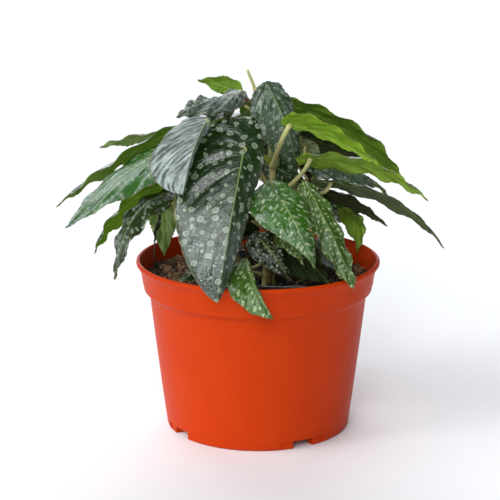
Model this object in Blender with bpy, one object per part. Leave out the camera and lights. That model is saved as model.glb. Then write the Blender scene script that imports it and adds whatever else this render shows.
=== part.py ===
"""Spotted begonia in a turned plastic pot.

The plant still stands in its square grower's pot, which is sunk in the coir that fills the round pot.
Metres, +Z up. The origin is the middle of the round pot's foot, on the surface that it stands on.
The tables below are in millimetres and are scaled once, by MM.
"""

import math
import random

import bmesh
import bpy
from mathutils import Matrix, Vector

MM = 0.001
GAP = 0.3
SEED = 11
SHARP_ANGLE = 40

# Round pot, as radius and height
POT_HEIGHT = 112.2
RIM_RADIUS = 79.5
FOOT_RADIUS = 60.0
BODY_RADIUS = 70.9
BODY_TOP_Z = 88.3
BODY_BOW = 0.93
COLLAR_RADIUS = 75.6
COLLAR_FOOT_Z = 93.6
COLLAR_FLARE = 0.24
WALL = 1.3
FLOOR_Z = 6.0
FLOOR_THICK = 1.6
FOOT_RING_WIDTH = 6.0
FOOT_EDGE = 1.4
INNER_STEP_Z = 104.0
POT_SIDES = 44
SLOT_ANGLES = (29, 122, 212, 303)
SLOT_HEIGHT = 4.9
SLOT_ARC = 14.0
RECESS_ARC = 31.0
RECESS_DEPTH = 0.5
RECESS_RISE = 0.6
CUT_INNER = 46.0
CUT_OUTER = 64.0
CUT_BELOW = -1.0
CUT_STEPS = 4
DRAIN_RADIUS = 4.0
DRAIN_RING = 40.0
DRAIN_CUT = 8.0

# Square grower's pot
INNER_CENTRE = (16.0, -5.0)
INNER_TURN = -4.0
INNER_SIDE = 89.0
INNER_FOOT_SIDE = 66.0
INNER_RIM_Z = 106.5
INNER_FOOT_Z = 28.0
INNER_WALL = 0.9
INNER_LIP = 1.6
INNER_LIP_HEIGHT = 5.2
INNER_CORNER = 14.0
FOOT_CORNER = 10.0
LIP_STEP = 1.5
LIP_DRAFT = 0.6
CORNER_POINTS = 4

# Coir and the plant's own soil
COIR_Z = 99.5
COIR_ROUGH = 1.6
COIR_SIDES = 40
COIR_PLAY = 0.6
COIR_SHARES = (0.94, 0.86, 0.77, 0.68, 0.5, 0.3, 0.12)
POCKET_TOP = 4.0
SOIL_Z = 94.0
SOIL_ROUGH = 1.8
SOIL_PLAY = 0.4
SOIL_TUCK = 4.2
SOIL_EDGE_DROP = 2.5
SOIL_SHARES = (0.9, 0.74, 0.56, 0.38, 0.18)
HOLE_SIDES = 12
HOLE_LENGTH = 40.0
ROOT_Z = 84.0

# Leaf blades
BLADE = 0.75
SINUS = 0.03
TIP_HALF_WIDTH = 0.5
STEM_SIDES = 7
PETIOLE_SIDES = 5
STIPULE = 1.7

# Colours as sRGB hex, with roughness
ORANGE = ("D2441D", 0.42)
BLACK = ("17181C", 0.38)
COIR = ("4A2C1C", 0.95)
SOIL = ("1E1511", 0.95)
CANE = ("8C8448", 0.5)
LEAF = ("2B4A1C", 0.32)


# Canes: route of the axis, radius at foot and at tip, and foot and tip of each stipule
CANES = {
    "cane_main": dict(
        route=[
            (7, 0, ROOT_Z), (7, 0, 108), (9, 1, 140), (9, 1, 176), (5, 2, 200), (-2, 3, 222), (-7, 3, 235)],
        radii=(3.2, 1.0),
        stipules=[((8, 0, 173), (-3, -7, 187)), ((10, 0, 172), (10, -3, 189)), ((9, 1, 150), (2, -9, 158)),
                  ((3, 3, 208), (10, -2, 217))]),
    "cane_right": dict(
        route=[(30, 8, ROOT_Z), (30, 8, 104), (29, 7, 125), (31, 5, 148), (33, 4, 166)],
        radii=(2.8, 1.9),
        stipules=[((31, 5, 146), (37, -2, 155)), ((33, 4, 164), (30, 8, 175))]),
    "cane_left": dict(
        route=[
            (-10, 8, ROOT_Z), (-10, 8, 98), (-13, 8, 108), (-23, 6, 126), (-36, 2, 150), (-42, 0, 176),
            (-40, 2, 196)],
        radii=(2.8, 1.8),
        stipules=[((-41, 1, 168), (-50, -4, 176)), ((-40, 2, 194), (-36, 8, 203))]),
    "cane_back": dict(
        route=[(8, 26, ROOT_Z), (8, 26, 104), (9, 30, 140), (7, 33, 175), (6, 32, 200)],
        radii=(2.8, 1.8),
        stipules=[((7, 32, 188), (14, 38, 196)), ((6, 32, 198), (2, 27, 208))]),
    "shoot_front": dict(
        route=[(4, -22, ROOT_Z), (4, -22, 100), (5, -24, 114), (6, -24, 124)],
        radii=(2.2, 1.4),
        stipules=[((6, -24, 122), (3, -20, 129))]),
}


def leaf(cane, start, joint, tip, face, **more):
    """One blade: the cane it grows on, where its stalk starts, its joint and tip, and where it faces.

    left and right are the half widths and lobe the reach behind the joint, as shares of the length.
    """
    shape = dict(
        cane=cane, start=start, joint=joint, tip=tip, face=face, tip_face=face, bow=0.10, sway=0.0,
        left=0.30, right=0.30, lobe=0.22, cleft=9, taper=(1.2, 1.2), fold=(8, 8), curl=(14, 14),
        wave=1.2, waves=12, rows=12, columns=2, thick=BLADE, stalk=1.2, leave=(0, 0, 1),
        arrive=None)
    shape.update(more)
    return shape


LEAVES = {
    "leaf_front": leaf(
        "cane_main", (9, 1, 150), (-9, -46, 193), (-25, -92, 108), (0, -0.8, 0.6),
        left=0.16, right=0.39, lobe=0.26, taper=(0.5, 0.4), fold=(44, 4), curl=(18, 10), wave=0.5,
        bow=0.06, cleft=5, stalk=1.6, rows=14, waves=14, leave=(0, -1, 1)),
    "leaf_crown_left": leaf(
        "cane_main", (1, 3, 213), (-11, -7, 223), (-48, -52, 217), (0.1, -0.5, 0.9),
        left=0.20, right=0.22, lobe=0.06, fold=(14, 50), bow=0.03, leave=(-0.6, -0.7, 0.6)),
    "leaf_crown_right": leaf(
        "cane_main", (-2, 3, 222), (6, -2, 225), (25, 2, 165), (0.3, -0.8, 0.6),
        left=0.22, right=0.30, lobe=0.06, fold=(14, 12), bow=0.12, leave=(0.3, -0.8, 0.6)),
    "leaf_crown_back": leaf(
        "cane_back", (6, 32, 198), (-13, 34, 214.5), (-40, 46, 221.5), (0, 1, 0.3),
        left=0.32, right=0.22, lobe=0.25, rows=8, waves=8, stalk=0.9, columns=1,
        leave=(-0.6, -0.8, 0.5)),
    "leaf_crown_dark": leaf(
        "cane_main", (7, 1.5, 190), (-21, 12, 211), (-52, -12, 207), (0.1, -0.5, 0.9),
        left=0.32, right=0.32, lobe=0.10, rows=10, waves=10, wave=2.0, leave=(-1, 0.5, 0.3)),
    "leaf_left_silver": leaf(
        "cane_left", (-40, 2, 192), (-32, -50, 212), (-46, -75, 171), (-0.3, -0.8, 0.5),
        left=0.08, right=0.62, lobe=0.08, taper=(0.7, -0.3), fold=(80, 10), bow=0.10, wave=0.6,
        leave=(-0.6, -1, 1)),
    "leaf_left_far": leaf(
        "cane_left", (-40, 1, 184), (-50, 8, 197), (-124.4, -60, 160), (-0.2, 0.7, 0.7),
        left=0.10, right=0.09, lobe=0.12, bow=0.04, wave=1.5),
    "leaf_left_near": leaf(
        "cane_left", (-41, 0, 180), (-54.4, -18, 190), (-116.4, -86, 153), (-0.4, -0.5, 0.8),
        left=0.22, right=0.18, lobe=0.12, bow=0.05, wave=1.0),
    "leaf_left_back": leaf(
        "cane_left", (-41, 1, 178), (-64, 34, 186), (-106, 46, 176), (0, 0.6, 0.8),
        left=0.2, right=0.2, rows=8, waves=8, stalk=1.0, bow=0.05, columns=1),
    "leaf_left_low": leaf(
        "cane_left", (-38, 1, 156), (-61, -14, 164), (-103, -44, 126), (-0.3, 0.6, 0.7),
        left=0.24, right=0.22, lobe=0.14, bow=0.13, wave=1.8, arrive=(-0.9, -0.3, 0.3)),
    "leaf_left_arched": leaf(
        "cane_left", (-37, 2, 152), (-54, -30, 163), (-88, -80, 119), (-0.5, -0.6, 0.6),
        left=0.17, right=0.17, lobe=0.12, bow=0.20, wave=2.0),
    "leaf_left_hanging": leaf(
        "cane_left", (-34, 3, 146), (-62, 2, 147), (-61, -6, 115), (0, 0.9, 0.3),
        left=0.3, right=0.3, rows=8, waves=8, stalk=1.0, leave=(-0.7, 0, 0.7), columns=1),
    "leaf_left_twisted": leaf(
        "cane_left", (-30, 4, 139), (-55, -16, 156), (-66, -30, 130), (-0.9, 0.3, 0.3),
        left=0.12, right=0.12, rows=8, waves=8, stalk=0.9, columns=1),
    "leaf_low_left": leaf(
        "shoot_front", (4, -23, 106), (-33, -42, 116), (-50, -54, 109), (-0.1, -0.3, 0.9),
        left=0.4, right=0.4, rows=8, waves=8, stalk=0.9, leave=(-1, -0.3, 0.6),
        arrive=(-1, -0.4, 0.3), columns=1),
    "leaf_over_rim": leaf(
        "shoot_front", (5, -24, 112), (-7, -66, 126), (8.5, -94, 98.5), (0, -0.7, 0.7),
        left=0.05, right=0.38, lobe=0.12, taper=(1.0, 0.6), bow=0.10, fold=(35, 10), stalk=0.9,
        rows=10, waves=10, leave=(0, -0.7, 0.7), sway=0.06),
    "leaf_front_right": leaf(
        "cane_main", (9, 1, 144), (15, -56, 162), (34, -82, 127), (0.1, -0.8, 0.6),
        left=0.27, right=0.44, lobe=0.44, taper=(0.8, 2.0), fold=(12, 6), bow=0.08, wave=0.6,
        leave=(0, -1, 0.7)),
    "leaf_right_long": leaf(
        "cane_right", (29, 7, 140), (29, -36, 170), (59, -64, 109), (0.5, -0.8, 0.4),
        left=0.14, right=0.14, lobe=0.02, bow=0.04, wave=2.0, leave=(0, -0.7, 0.7), taper=(0.4, 0.4)),
    "leaf_right_shaded": leaf(
        "cane_right", (29, 7, 122), (36, -12, 124), (57, -44, 111), (-0.3, -0.6, 0.7),
        left=0.2, right=0.2, rows=8, waves=8, stalk=1.0, columns=1),
    "leaf_low_right": leaf(
        "shoot_front", (5, -24, 118), (15, -14, 129), (45, -38, 105), (0.3, 0.9, 0.3),
        left=0.42, right=0.46, rows=10, waves=10, stalk=1.0, fold=(4, 4), bow=0.04, leave=(0, -0.2, 1)),
    "leaf_low_dark": leaf(
        "shoot_front", (6, -24, 122), (1, -34, 133), (20, -46, 109), (0, -0.7, 0.7),
        left=0.22, right=0.34, rows=8, waves=8, stalk=0.9),
    "leaf_low_lime": leaf(
        "shoot_front", (6, -24, 124), (15, -40, 136), (28, -56, 122), (0.3, -0.7, 0.7),
        left=0.24, right=0.24, rows=8, waves=8, stalk=0.8, columns=1, leave=(1, -0.4, 0.8)),
    "leaf_right_high": leaf(
        "cane_back", (7, 33, 185), (22, 32, 207), (95, 30, 159), (0.2, 0.7, 0.7),
        left=0.21, right=0.2, lobe=0.12, taper=(0.4, 0.3), bow=0.085, wave=1.8),
    "leaf_right_upper": leaf(
        "cane_main", (9, 1, 172), (20, -30, 206), (76, -46, 182), (0.1, 0.75, 0.65),
        left=0.05, right=0.32, lobe=0.10, bow=0.06, wave=1.2, stalk=1.5, leave=(0.2, -0.9, 0.8)),
    "leaf_right_grey": leaf(
        "cane_back", (7.7, 32.2, 169), (28, 24, 188), (74, 37, 165), (0.1, 0.7, 0.7),
        left=0.3, right=0.3, bow=0.06, wave=1.0, rows=10, waves=10),
    "leaf_right_bright": leaf(
        "cane_main", (9, 1, 149), (33, -22, 183), (106, -44, 160), (0.1, 0.6, 0.8),
        left=0.16, right=0.16, lobe=0.12, bow=0.12, wave=1.4, stalk=1.4, leave=(0.5, -0.5, 0.75),
        arrive=(0.28, 0.0, 0.95)),
    "leaf_right_thread": leaf(
        "cane_right", (31, 5, 150), (46, -22, 168), (124.2, 28, 111), (0.2, 0.38, 0.9),
        left=0.15, right=0.12, lobe=0.12, taper=(2.0, 2.0), bow=0.10, wave=0.8, leave=(0.4, -0.5, 1)),
    "leaf_right_inner": leaf(
        "cane_right", (33, 4, 164), (38, 2, 174), (76, 8, 157), (0.1, -0.6, 0.8),
        left=0.3, right=0.24, rows=10, waves=10),
    "leaf_right_olive": leaf(
        "cane_right", (31, 6, 142), (38, 24, 151), (86, 24, 127), (0.1, 0.6, 0.8),
        left=0.22, right=0.22, lobe=0.16, bow=0.10, wave=0.8, stalk=1.1, leave=(0.2, 0.4, 1)),
    "leaf_right_curled": leaf(
        "cane_right", (30, 6, 130), (49, 9, 146), (67, 28, 108), (0.6, 0.6, 0.5),
        left=0.36, right=0.32, bow=0.22, rows=10, waves=10, stalk=1.0, leave=(1, -0.2, 0.3), lobe=0.10),
    "leaf_right_dark": leaf(
        "cane_right", (31, 5, 144), (38, -14, 154), (52, -28, 142), (0.3, -0.5, 0.8),
        left=0.4, right=0.4, rows=8, waves=8, stalk=0.9, columns=1),
    "leaf_heart_pale": leaf(
        "cane_right", (32.5, 4.5, 160), (31, 17, 182), (37.5, 14.5, 154), (0.1, 0.95, 0.1),
        left=0.34, right=0.30, rows=8, waves=8, stalk=0.9, columns=1, leave=(-0.5, 0.4, 0.9)),
    "leaf_heart_back": leaf(
        "cane_back", (9, 30.5, 146), (0, 21.5, 172.5), (33, 19.5, 157), (0.1, -0.9, 0.35),
        left=0.25, right=0.25, waves=8, stalk=0.9, bow=0.04),
    "leaf_heart_dark": leaf(
        "cane_main", (8, 0.5, 124), (-4, -8, 139), (-18, -14, 124), (0, 0.8, 0.5),
        left=0.45, right=0.45, rows=8, waves=8, stalk=0.9, columns=1),
    "leaf_heart_high": leaf(
        "cane_back", (7, 32.5, 180), (4, 16, 178), (-2, 8, 200), (0, -0.9, 0.3),
        left=0.4, right=0.4, rows=8, waves=8, stalk=0.9, columns=1),
    "leaf_back_high": leaf(
        "cane_back", (6, 32, 199), (4, 48, 208), (10, 96.5, 166), (0, 0.6, 0.8),
        left=0.28, right=0.26, bow=0.12),
    "leaf_back_left": leaf(
        "cane_back", (7, 33, 184), (-20, 50, 198), (-68, 88, 160), (-0.4, 0.5, 0.8),
        left=0.26, right=0.28, bow=0.12),
    "leaf_back_right": leaf(
        "cane_back", (7, 32, 172), (29, 63, 178), (66, 95, 141), (0.4, 0.6, 0.7),
        left=0.26, right=0.26, bow=0.12),
    "leaf_back_low_left": leaf(
        "cane_left", (-39, 1, 164), (-50, 30, 168), (-88, 66, 130), (-0.4, 0.5, 0.8),
        left=0.24, right=0.26, bow=0.12),
    "leaf_back_low": leaf(
        "cane_back", (8, 31, 150), (-12, 54, 166), (-36, 95, 118), (-0.2, 0.8, 0.6),
        left=0.30, right=0.28, bow=0.14),
    "leaf_back_low_right": leaf(
        "cane_back", (9, 30, 142), (28, 54, 152), (46, 94, 108), (0.3, 0.8, 0.6),
        left=0.28, right=0.28, bow=0.16),
    "leaf_side_right": leaf(
        "cane_right", (32, 5, 156), (48, 20, 166), (88, 52, 142), (0.4, 0.2, 0.9),
        left=0.24, right=0.24, bow=0.10, rows=10, waves=10, leave=(1, 0.2, 0.2), lobe=0.08),
    "leaf_side_low_right": leaf(
        "cane_right", (30, 7, 126), (38, 40, 142), (66, 76, 116), (0.5, 0.4, 0.8),
        left=0.26, right=0.26, bow=0.14, rows=10, waves=10, leave=(0, 1, 0.3)),
    "leaf_side_low_left": leaf(
        "cane_left", (-33, 3, 144), (-40, 36, 148), (-60, 80, 114), (-0.4, 0.6, 0.7),
        left=0.28, right=0.28, bow=0.16, rows=10, waves=10),
}


def reset_scene():
    """Empty the scene of the objects that Blender starts with."""
    for obj in list(bpy.data.objects):
        bpy.data.objects.remove(obj, do_unlink=True)


def linear(hex_colour):
    """Turn an sRGB hex value into linear red, green, blue and alpha."""
    channels = [int(hex_colour[i:i + 2], 16) / 255 for i in (0, 2, 4)]
    return [c / 12.92 if c <= 0.04045 else ((c + 0.055) / 1.055) ** 2.4 for c in channels] + [1.0]


def new_material(name, colour, roughness):
    """Make a plain Principled material."""
    material = bpy.data.materials.new(name)
    material.use_nodes = True
    shader = material.node_tree.nodes["Principled BSDF"]
    shader.inputs["Base Color"].default_value = linear(colour)
    shader.inputs["Roughness"].default_value = roughness
    return material


def new_object(name, build, material=None):
    """Link an object whose mesh is the bmesh given, in millimetres, and free the bmesh."""
    build.verts.ensure_lookup_table()
    bmesh.ops.scale(build, vec=(MM, MM, MM), verts=build.verts)
    mesh = bpy.data.meshes.new(name)
    build.to_mesh(mesh)
    build.free()
    mesh.shade_smooth()
    mesh.set_sharp_from_angle(angle=math.radians(SHARP_ANGLE))
    obj = bpy.data.objects.new(name, mesh)
    bpy.context.scene.collection.objects.link(obj)
    if material:
        mesh.materials.append(material)
    return obj


def apply_boolean(obj, operation, tool=None, group=None):
    """Cut or join an object with one object or with a collection, apply it and remove the tools."""
    cut = obj.modifiers.new(operation.lower(), "BOOLEAN")
    cut.operation = operation
    if group:
        cut.operand_type = "COLLECTION"
        cut.collection = group
    else:
        cut.object = tool
    evaluated = obj.evaluated_get(bpy.context.evaluated_depsgraph_get())
    mesh = bpy.data.meshes.new_from_object(evaluated)
    old = obj.data
    obj.modifiers.clear()
    obj.data = mesh
    bpy.data.meshes.remove(old)
    for used in (list(group.objects) if group else [tool]):
        bpy.data.objects.remove(used, do_unlink=True)
    if group:
        bpy.data.collections.remove(group)
    obj.data.shade_smooth()
    obj.data.set_sharp_from_angle(angle=math.radians(SHARP_ANGLE))


def turned(profile, sides):
    """Spin a closed outline of (radius, height) points about the Z axis into one solid."""
    build = bmesh.new()
    verts = [build.verts.new((r, 0, z)) for r, z in profile]
    edges = [build.edges.new((a, b)) for a, b in zip(verts, verts[1:] + verts[:1])]
    bmesh.ops.spin(
        build, geom=verts + edges, cent=(0, 0, 0), axis=(0, 0, 1), dvec=(0, 0, 0),
        angle=math.tau, steps=sides, use_merge=True)
    bmesh.ops.remove_doubles(build, verts=build.verts, dist=0.001)
    bmesh.ops.recalc_face_normals(build, faces=build.faces)
    return build


def pot_outer(z):
    """Outer radius of the pot's body below the collar, at a height."""
    return FOOT_RADIUS + (BODY_RADIUS - FOOT_RADIUS) * (z / BODY_TOP_Z) ** BODY_BOW


def pot_inner(z):
    """Inner radius of the pot's wall, at a height."""
    if z < BODY_TOP_Z:
        return pot_outer(z) - WALL
    return pot_outer(BODY_TOP_Z) - WALL + (z - BODY_TOP_Z) * COLLAR_FLARE


def make_pot(material):
    """The round pot: foot ring, raised floor, tapered wall, collar and rolled rim."""
    ring_inner = FOOT_RADIUS - FOOT_RING_WIDTH
    outer = [(FOOT_RADIUS - FOOT_EDGE, 0), (pot_outer(FOOT_EDGE), FOOT_EDGE)]
    outer += [(pot_outer(z), z) for z in (20, 44, 68, BODY_TOP_Z)]
    collar = [
        (COLLAR_RADIUS - 1.5, COLLAR_FOOT_Z - 1.2), (COLLAR_RADIUS - 0.9, COLLAR_FOOT_Z),
        (COLLAR_RADIUS - 0.7, COLLAR_FOOT_Z + 2.6), (COLLAR_RADIUS - 0.3, COLLAR_FOOT_Z + 2.9),
        (COLLAR_RADIUS + 0.6, 102.4),
        (COLLAR_RADIUS + 1.8, 106.0), (RIM_RADIUS - 0.4, 109.2), (RIM_RADIUS, 110.4),
        (RIM_RADIUS - 0.3, 111.6), (RIM_RADIUS - 1.2, POT_HEIGHT), (RIM_RADIUS - 2.2, POT_HEIGHT - 0.2),
        (RIM_RADIUS - 2.9, POT_HEIGHT - 1.2)]
    inner = [(pot_inner(z), z) for z in (INNER_STEP_Z, BODY_TOP_Z, 50, FLOOR_Z + FLOOR_THICK + 2)]
    inner += [(pot_inner(FLOOR_Z) - 2, FLOOR_Z + FLOOR_THICK), (DRAIN_RING, FLOOR_Z + FLOOR_THICK)]
    inner += [(0, FLOOR_Z + FLOOR_THICK), (0, FLOOR_Z), (DRAIN_RING, FLOOR_Z), (ring_inner, FLOOR_Z)]
    inner += [(ring_inner, 0)]
    pot = new_object("pot", turned(outer + collar + inner, POT_SIDES), material)
    group = bpy.data.collections.new("pot cutters")
    for angle in SLOT_ANGLES:
        for cutter in slot_cutters(angle - 90):
            group.objects.link(cutter)
            bpy.context.scene.collection.objects.unlink(cutter)
    bpy.context.scene.collection.children.link(group)
    apply_boolean(pot, "DIFFERENCE", group=group)
    return pot


def arc_block(angle, arc, inner_radius, outer_radius, bottom, top):
    """A block bounded by two arcs, centred on an angle in degrees."""
    build = bmesh.new()
    angles = [math.radians(angle - arc / 2 + arc * i / CUT_STEPS) for i in range(CUT_STEPS + 1)]
    outline = [(outer_radius * math.cos(a), outer_radius * math.sin(a)) for a in angles]
    outline += [(inner_radius * math.cos(a), inner_radius * math.sin(a)) for a in reversed(angles)]
    face = build.faces.new([build.verts.new((x, y, bottom)) for x, y in outline])
    grown = bmesh.ops.extrude_face_region(build, geom=[face])
    top_verts = [item for item in grown["geom"] if isinstance(item, bmesh.types.BMVert)]
    bmesh.ops.translate(build, verts=top_verts, vec=(0, 0, top - bottom))
    bmesh.ops.recalc_face_normals(build, faces=build.faces)
    return build


def slot_cutters(angle):
    """The open slot in the foot ring, the shallow recess round it and the drain hole behind it."""
    yield new_object("slot", arc_block(angle, SLOT_ARC, CUT_INNER, CUT_OUTER, CUT_BELOW, SLOT_HEIGHT))
    recess_radius = FOOT_RADIUS - RECESS_DEPTH
    recess_top = SLOT_HEIGHT + RECESS_RISE
    yield new_object("recess", arc_block(angle, RECESS_ARC, recess_radius, CUT_OUTER, CUT_BELOW, recess_top))
    build = bmesh.new()
    turn = math.radians(angle)
    centre = Vector((DRAIN_RING * math.cos(turn), DRAIN_RING * math.sin(turn), FLOOR_Z))
    bmesh.ops.create_cone(
        build, cap_ends=True, segments=12, radius1=DRAIN_RADIUS, radius2=DRAIN_RADIUS, depth=DRAIN_CUT,
        matrix=Matrix.Translation(centre))
    yield new_object("drain", build)


def rounded_square(side, corner, z):
    """Points round a square with rounded corners, anticlockwise, turned and placed as the grower's pot."""
    points = []
    reach = side / 2 - corner
    turn = math.radians(INNER_TURN)
    for quarter in range(4):
        centre = math.radians(45 + 90 * quarter)
        cx = math.copysign(reach, math.cos(centre))
        cy = math.copysign(reach, math.sin(centre))
        for i in range(CORNER_POINTS):
            a = math.radians(90 * quarter + 90 * i / (CORNER_POINTS - 1))
            x = cx + corner * math.cos(a)
            y = cy + corner * math.sin(a)
            points.append((
                INNER_CENTRE[0] + x * math.cos(turn) - y * math.sin(turn),
                INNER_CENTRE[1] + x * math.sin(turn) + y * math.cos(turn), z))
    return points


def lofted(rings):
    """Skin a stack of rings of points into one closed solid, with a fan at each end."""
    build = bmesh.new()
    rows = [[build.verts.new(point) for point in ring] for ring in rings]
    for low, high in zip(rows, rows[1:]):
        for i in range(len(low)):
            j = (i + 1) % len(low)
            build.faces.new((low[i], low[j], high[j], high[i]))
    for row, flip in ((rows[0], True), (rows[-1], False)):
        centre = build.verts.new(sum((v.co for v in row), Vector()) / len(row))
        for i in range(len(row)):
            pair = (row[i], row[(i + 1) % len(row)])
            build.faces.new((pair[1], pair[0], centre) if flip else (pair[0], pair[1], centre))
    bmesh.ops.recalc_face_normals(build, faces=build.faces)
    return build


def inner_side(z):
    """Outer side of the grower's pot's wall at a height, below its lip."""
    share = (z - INNER_FOOT_Z) / (INNER_RIM_Z - INNER_LIP_HEIGHT - INNER_FOOT_Z)
    return INNER_FOOT_SIDE + (INNER_SIDE - 2 * INNER_LIP - LIP_STEP - INNER_FOOT_SIDE) * share


def make_inner_pot(material):
    """The thin square pot: tapered wall, folded lip and a stacking ledge inside."""
    thin = 2 * INNER_WALL
    lip_z = INNER_RIM_Z - INNER_LIP_HEIGHT
    ledge_z = lip_z + INNER_WALL
    floor_z = INNER_FOOT_Z + INNER_WALL
    rings = [
        rounded_square(INNER_FOOT_SIDE, FOOT_CORNER, INNER_FOOT_Z),
        rounded_square(inner_side(lip_z), INNER_CORNER, lip_z),
        rounded_square(INNER_SIDE - LIP_DRAFT, INNER_CORNER, lip_z + LIP_DRAFT / 2),
        rounded_square(INNER_SIDE, INNER_CORNER, INNER_RIM_Z),
        rounded_square(INNER_SIDE - thin, INNER_CORNER, INNER_RIM_Z),
        rounded_square(INNER_SIDE - thin - LIP_DRAFT, INNER_CORNER, ledge_z + LIP_DRAFT),
        rounded_square(inner_side(lip_z) - thin, INNER_CORNER, ledge_z),
        rounded_square(INNER_FOOT_SIDE - thin, FOOT_CORNER, floor_z)]
    return new_object("inner_pot", lofted(rings), material)


def heap(rings, level, rough, seed, inset):
    """A solid with walls through the rings given and an uneven top that sinks a little to its edge."""
    draw = random.Random(seed)
    top = rings[-1]
    centre = Vector((sum(p[0] for p in top) / len(top), sum(p[1] for p in top) / len(top), 0))
    for share in inset:
        ring = []
        for x, y, z in top:
            spot = centre + (Vector((x, y, 0)) - centre) * share
            ring.append((spot.x, spot.y, level + draw.uniform(-rough, rough)))
        rings.append(ring)
    return lofted(rings)


def circle(radius, z, sides):
    """Points round a circle about the pot's axis."""
    return [
        (radius * math.cos(math.tau * i / sides), radius * math.sin(math.tau * i / sides), z)
        for i in range(sides)]


def make_coir(material):
    """Coir between the two pots, with the square pocket that the grower's pot stands in."""
    rings = [circle(pot_inner(FLOOR_Z) - 2 - COIR_PLAY, FLOOR_Z + FLOOR_THICK + GAP, COIR_SIDES)]
    rings += [circle(pot_inner(z) - COIR_PLAY, z, COIR_SIDES) for z in (12, 50, 86, COIR_Z - 2)]
    solid = heap(rings, COIR_Z, COIR_ROUGH, SEED, COIR_SHARES)
    coir = new_object("coir", solid, material)
    lip = 2 * (INNER_LIP + GAP)
    pocket = lofted([
        rounded_square(INNER_FOOT_SIDE + 2 * GAP, FOOT_CORNER, INNER_FOOT_Z - GAP),
        rounded_square(INNER_SIDE + lip, INNER_CORNER, INNER_RIM_Z + POCKET_TOP)])
    apply_boolean(coir, "DIFFERENCE", tool=new_object("pocket", pocket))
    return coir


def make_soil(material):
    """The plant's own soil, inside the grower's pot, with a plain hole for each cane."""
    thin = 2 * (INNER_WALL + GAP) + SOIL_PLAY
    low = INNER_FOOT_Z + INNER_WALL + GAP
    middle = SOIL_Z - SOIL_EDGE_DROP
    rings = [
        rounded_square(INNER_FOOT_SIDE - thin, FOOT_CORNER, low),
        rounded_square(inner_side(middle) - thin - SOIL_TUCK, INNER_CORNER - 1, middle)]
    solid = heap(rings, SOIL_Z, SOIL_ROUGH, SEED + 1, SOIL_SHARES)
    soil = new_object("soil", solid, material)
    group = bpy.data.collections.new("root holes")
    bpy.context.scene.collection.children.link(group)
    for cane in CANES.values():
        foot = Vector(cane["route"][0])
        radius = (cane["radii"][0] + GAP) / math.cos(math.pi / HOLE_SIDES)
        build = bmesh.new()
        bmesh.ops.create_cone(
            build, cap_ends=True, segments=HOLE_SIDES, radius1=radius, radius2=radius, depth=HOLE_LENGTH,
            matrix=Matrix.Translation(foot + Vector((0, 0, HOLE_LENGTH / 2 - GAP))))
        hole = new_object("hole", build)
        group.objects.link(hole)
        bpy.context.scene.collection.objects.unlink(hole)
    apply_boolean(soil, "DIFFERENCE", group=group)
    return soil


def smooth_route(points, spacing):
    """A smooth curve through hand-placed points, as a list about one spacing apart."""
    points = [Vector(p) for p in points]
    ends = [points[0] * 2 - points[1]] + points + [points[-1] * 2 - points[-2]]
    route = [points[0]]
    for a, b, c, d in zip(ends, ends[1:], ends[2:], ends[3:]):
        steps = max(1, round((c - b).length / spacing))
        for i in range(1, steps + 1):
            t = i / steps
            route.append(0.5 * (
                2 * b + (c - a) * t + (2 * a - 5 * b + 4 * c - d) * t ** 2
                + (3 * b - a - 3 * c + d) * t ** 3))
    return route


def bezier(a, b, c, d, steps):
    """Points along a cubic Bezier curve."""
    return [
        a * (1 - t) ** 3 + 3 * b * t * (1 - t) ** 2 + 3 * c * t ** 2 * (1 - t) + d * t ** 3
        for t in (i / steps for i in range(steps + 1))]


def tube(route, radii, sides):
    """A closed tube along a route, its section carried along without twisting."""
    tangents = [
        (route[min(i + 1, len(route) - 1)] - route[max(i - 1, 0)]).normalized() for i in range(len(route))]
    side = tangents[0].orthogonal().normalized()
    rings = []
    for point, tangent, radius in zip(route, tangents, radii):
        side = (side - tangent * side.dot(tangent)).normalized()
        other = tangent.cross(side)
        rings.append([
            point + radius * (side * math.cos(math.tau * k / sides) + other * math.sin(math.tau * k / sides))
            for k in range(sides)])
    return lofted(rings)


def leaf_axis(shape, share):
    """Point, direction and length share on the midrib, which bends from the joint to the tip."""
    joint, tip = Vector(shape["joint"]), Vector(shape["tip"])
    line = tip - joint
    face = Vector(shape["face"])
    up = (face - line * face.dot(line) / line.length_squared).normalized()
    aside = line.normalized().cross(up)
    middle = (joint + tip) / 2 + line.length * (shape["bow"] * 2 * up + shape["sway"] * 2 * aside)
    if share < 0:
        start = (middle - joint).normalized()
        return joint + start * share * line.length, start
    point = joint * (1 - share) ** 2 + 2 * middle * share * (1 - share) + tip * share ** 2
    return point, ((middle - joint) * (1 - share) + (tip - middle) * share).normalized()


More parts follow.
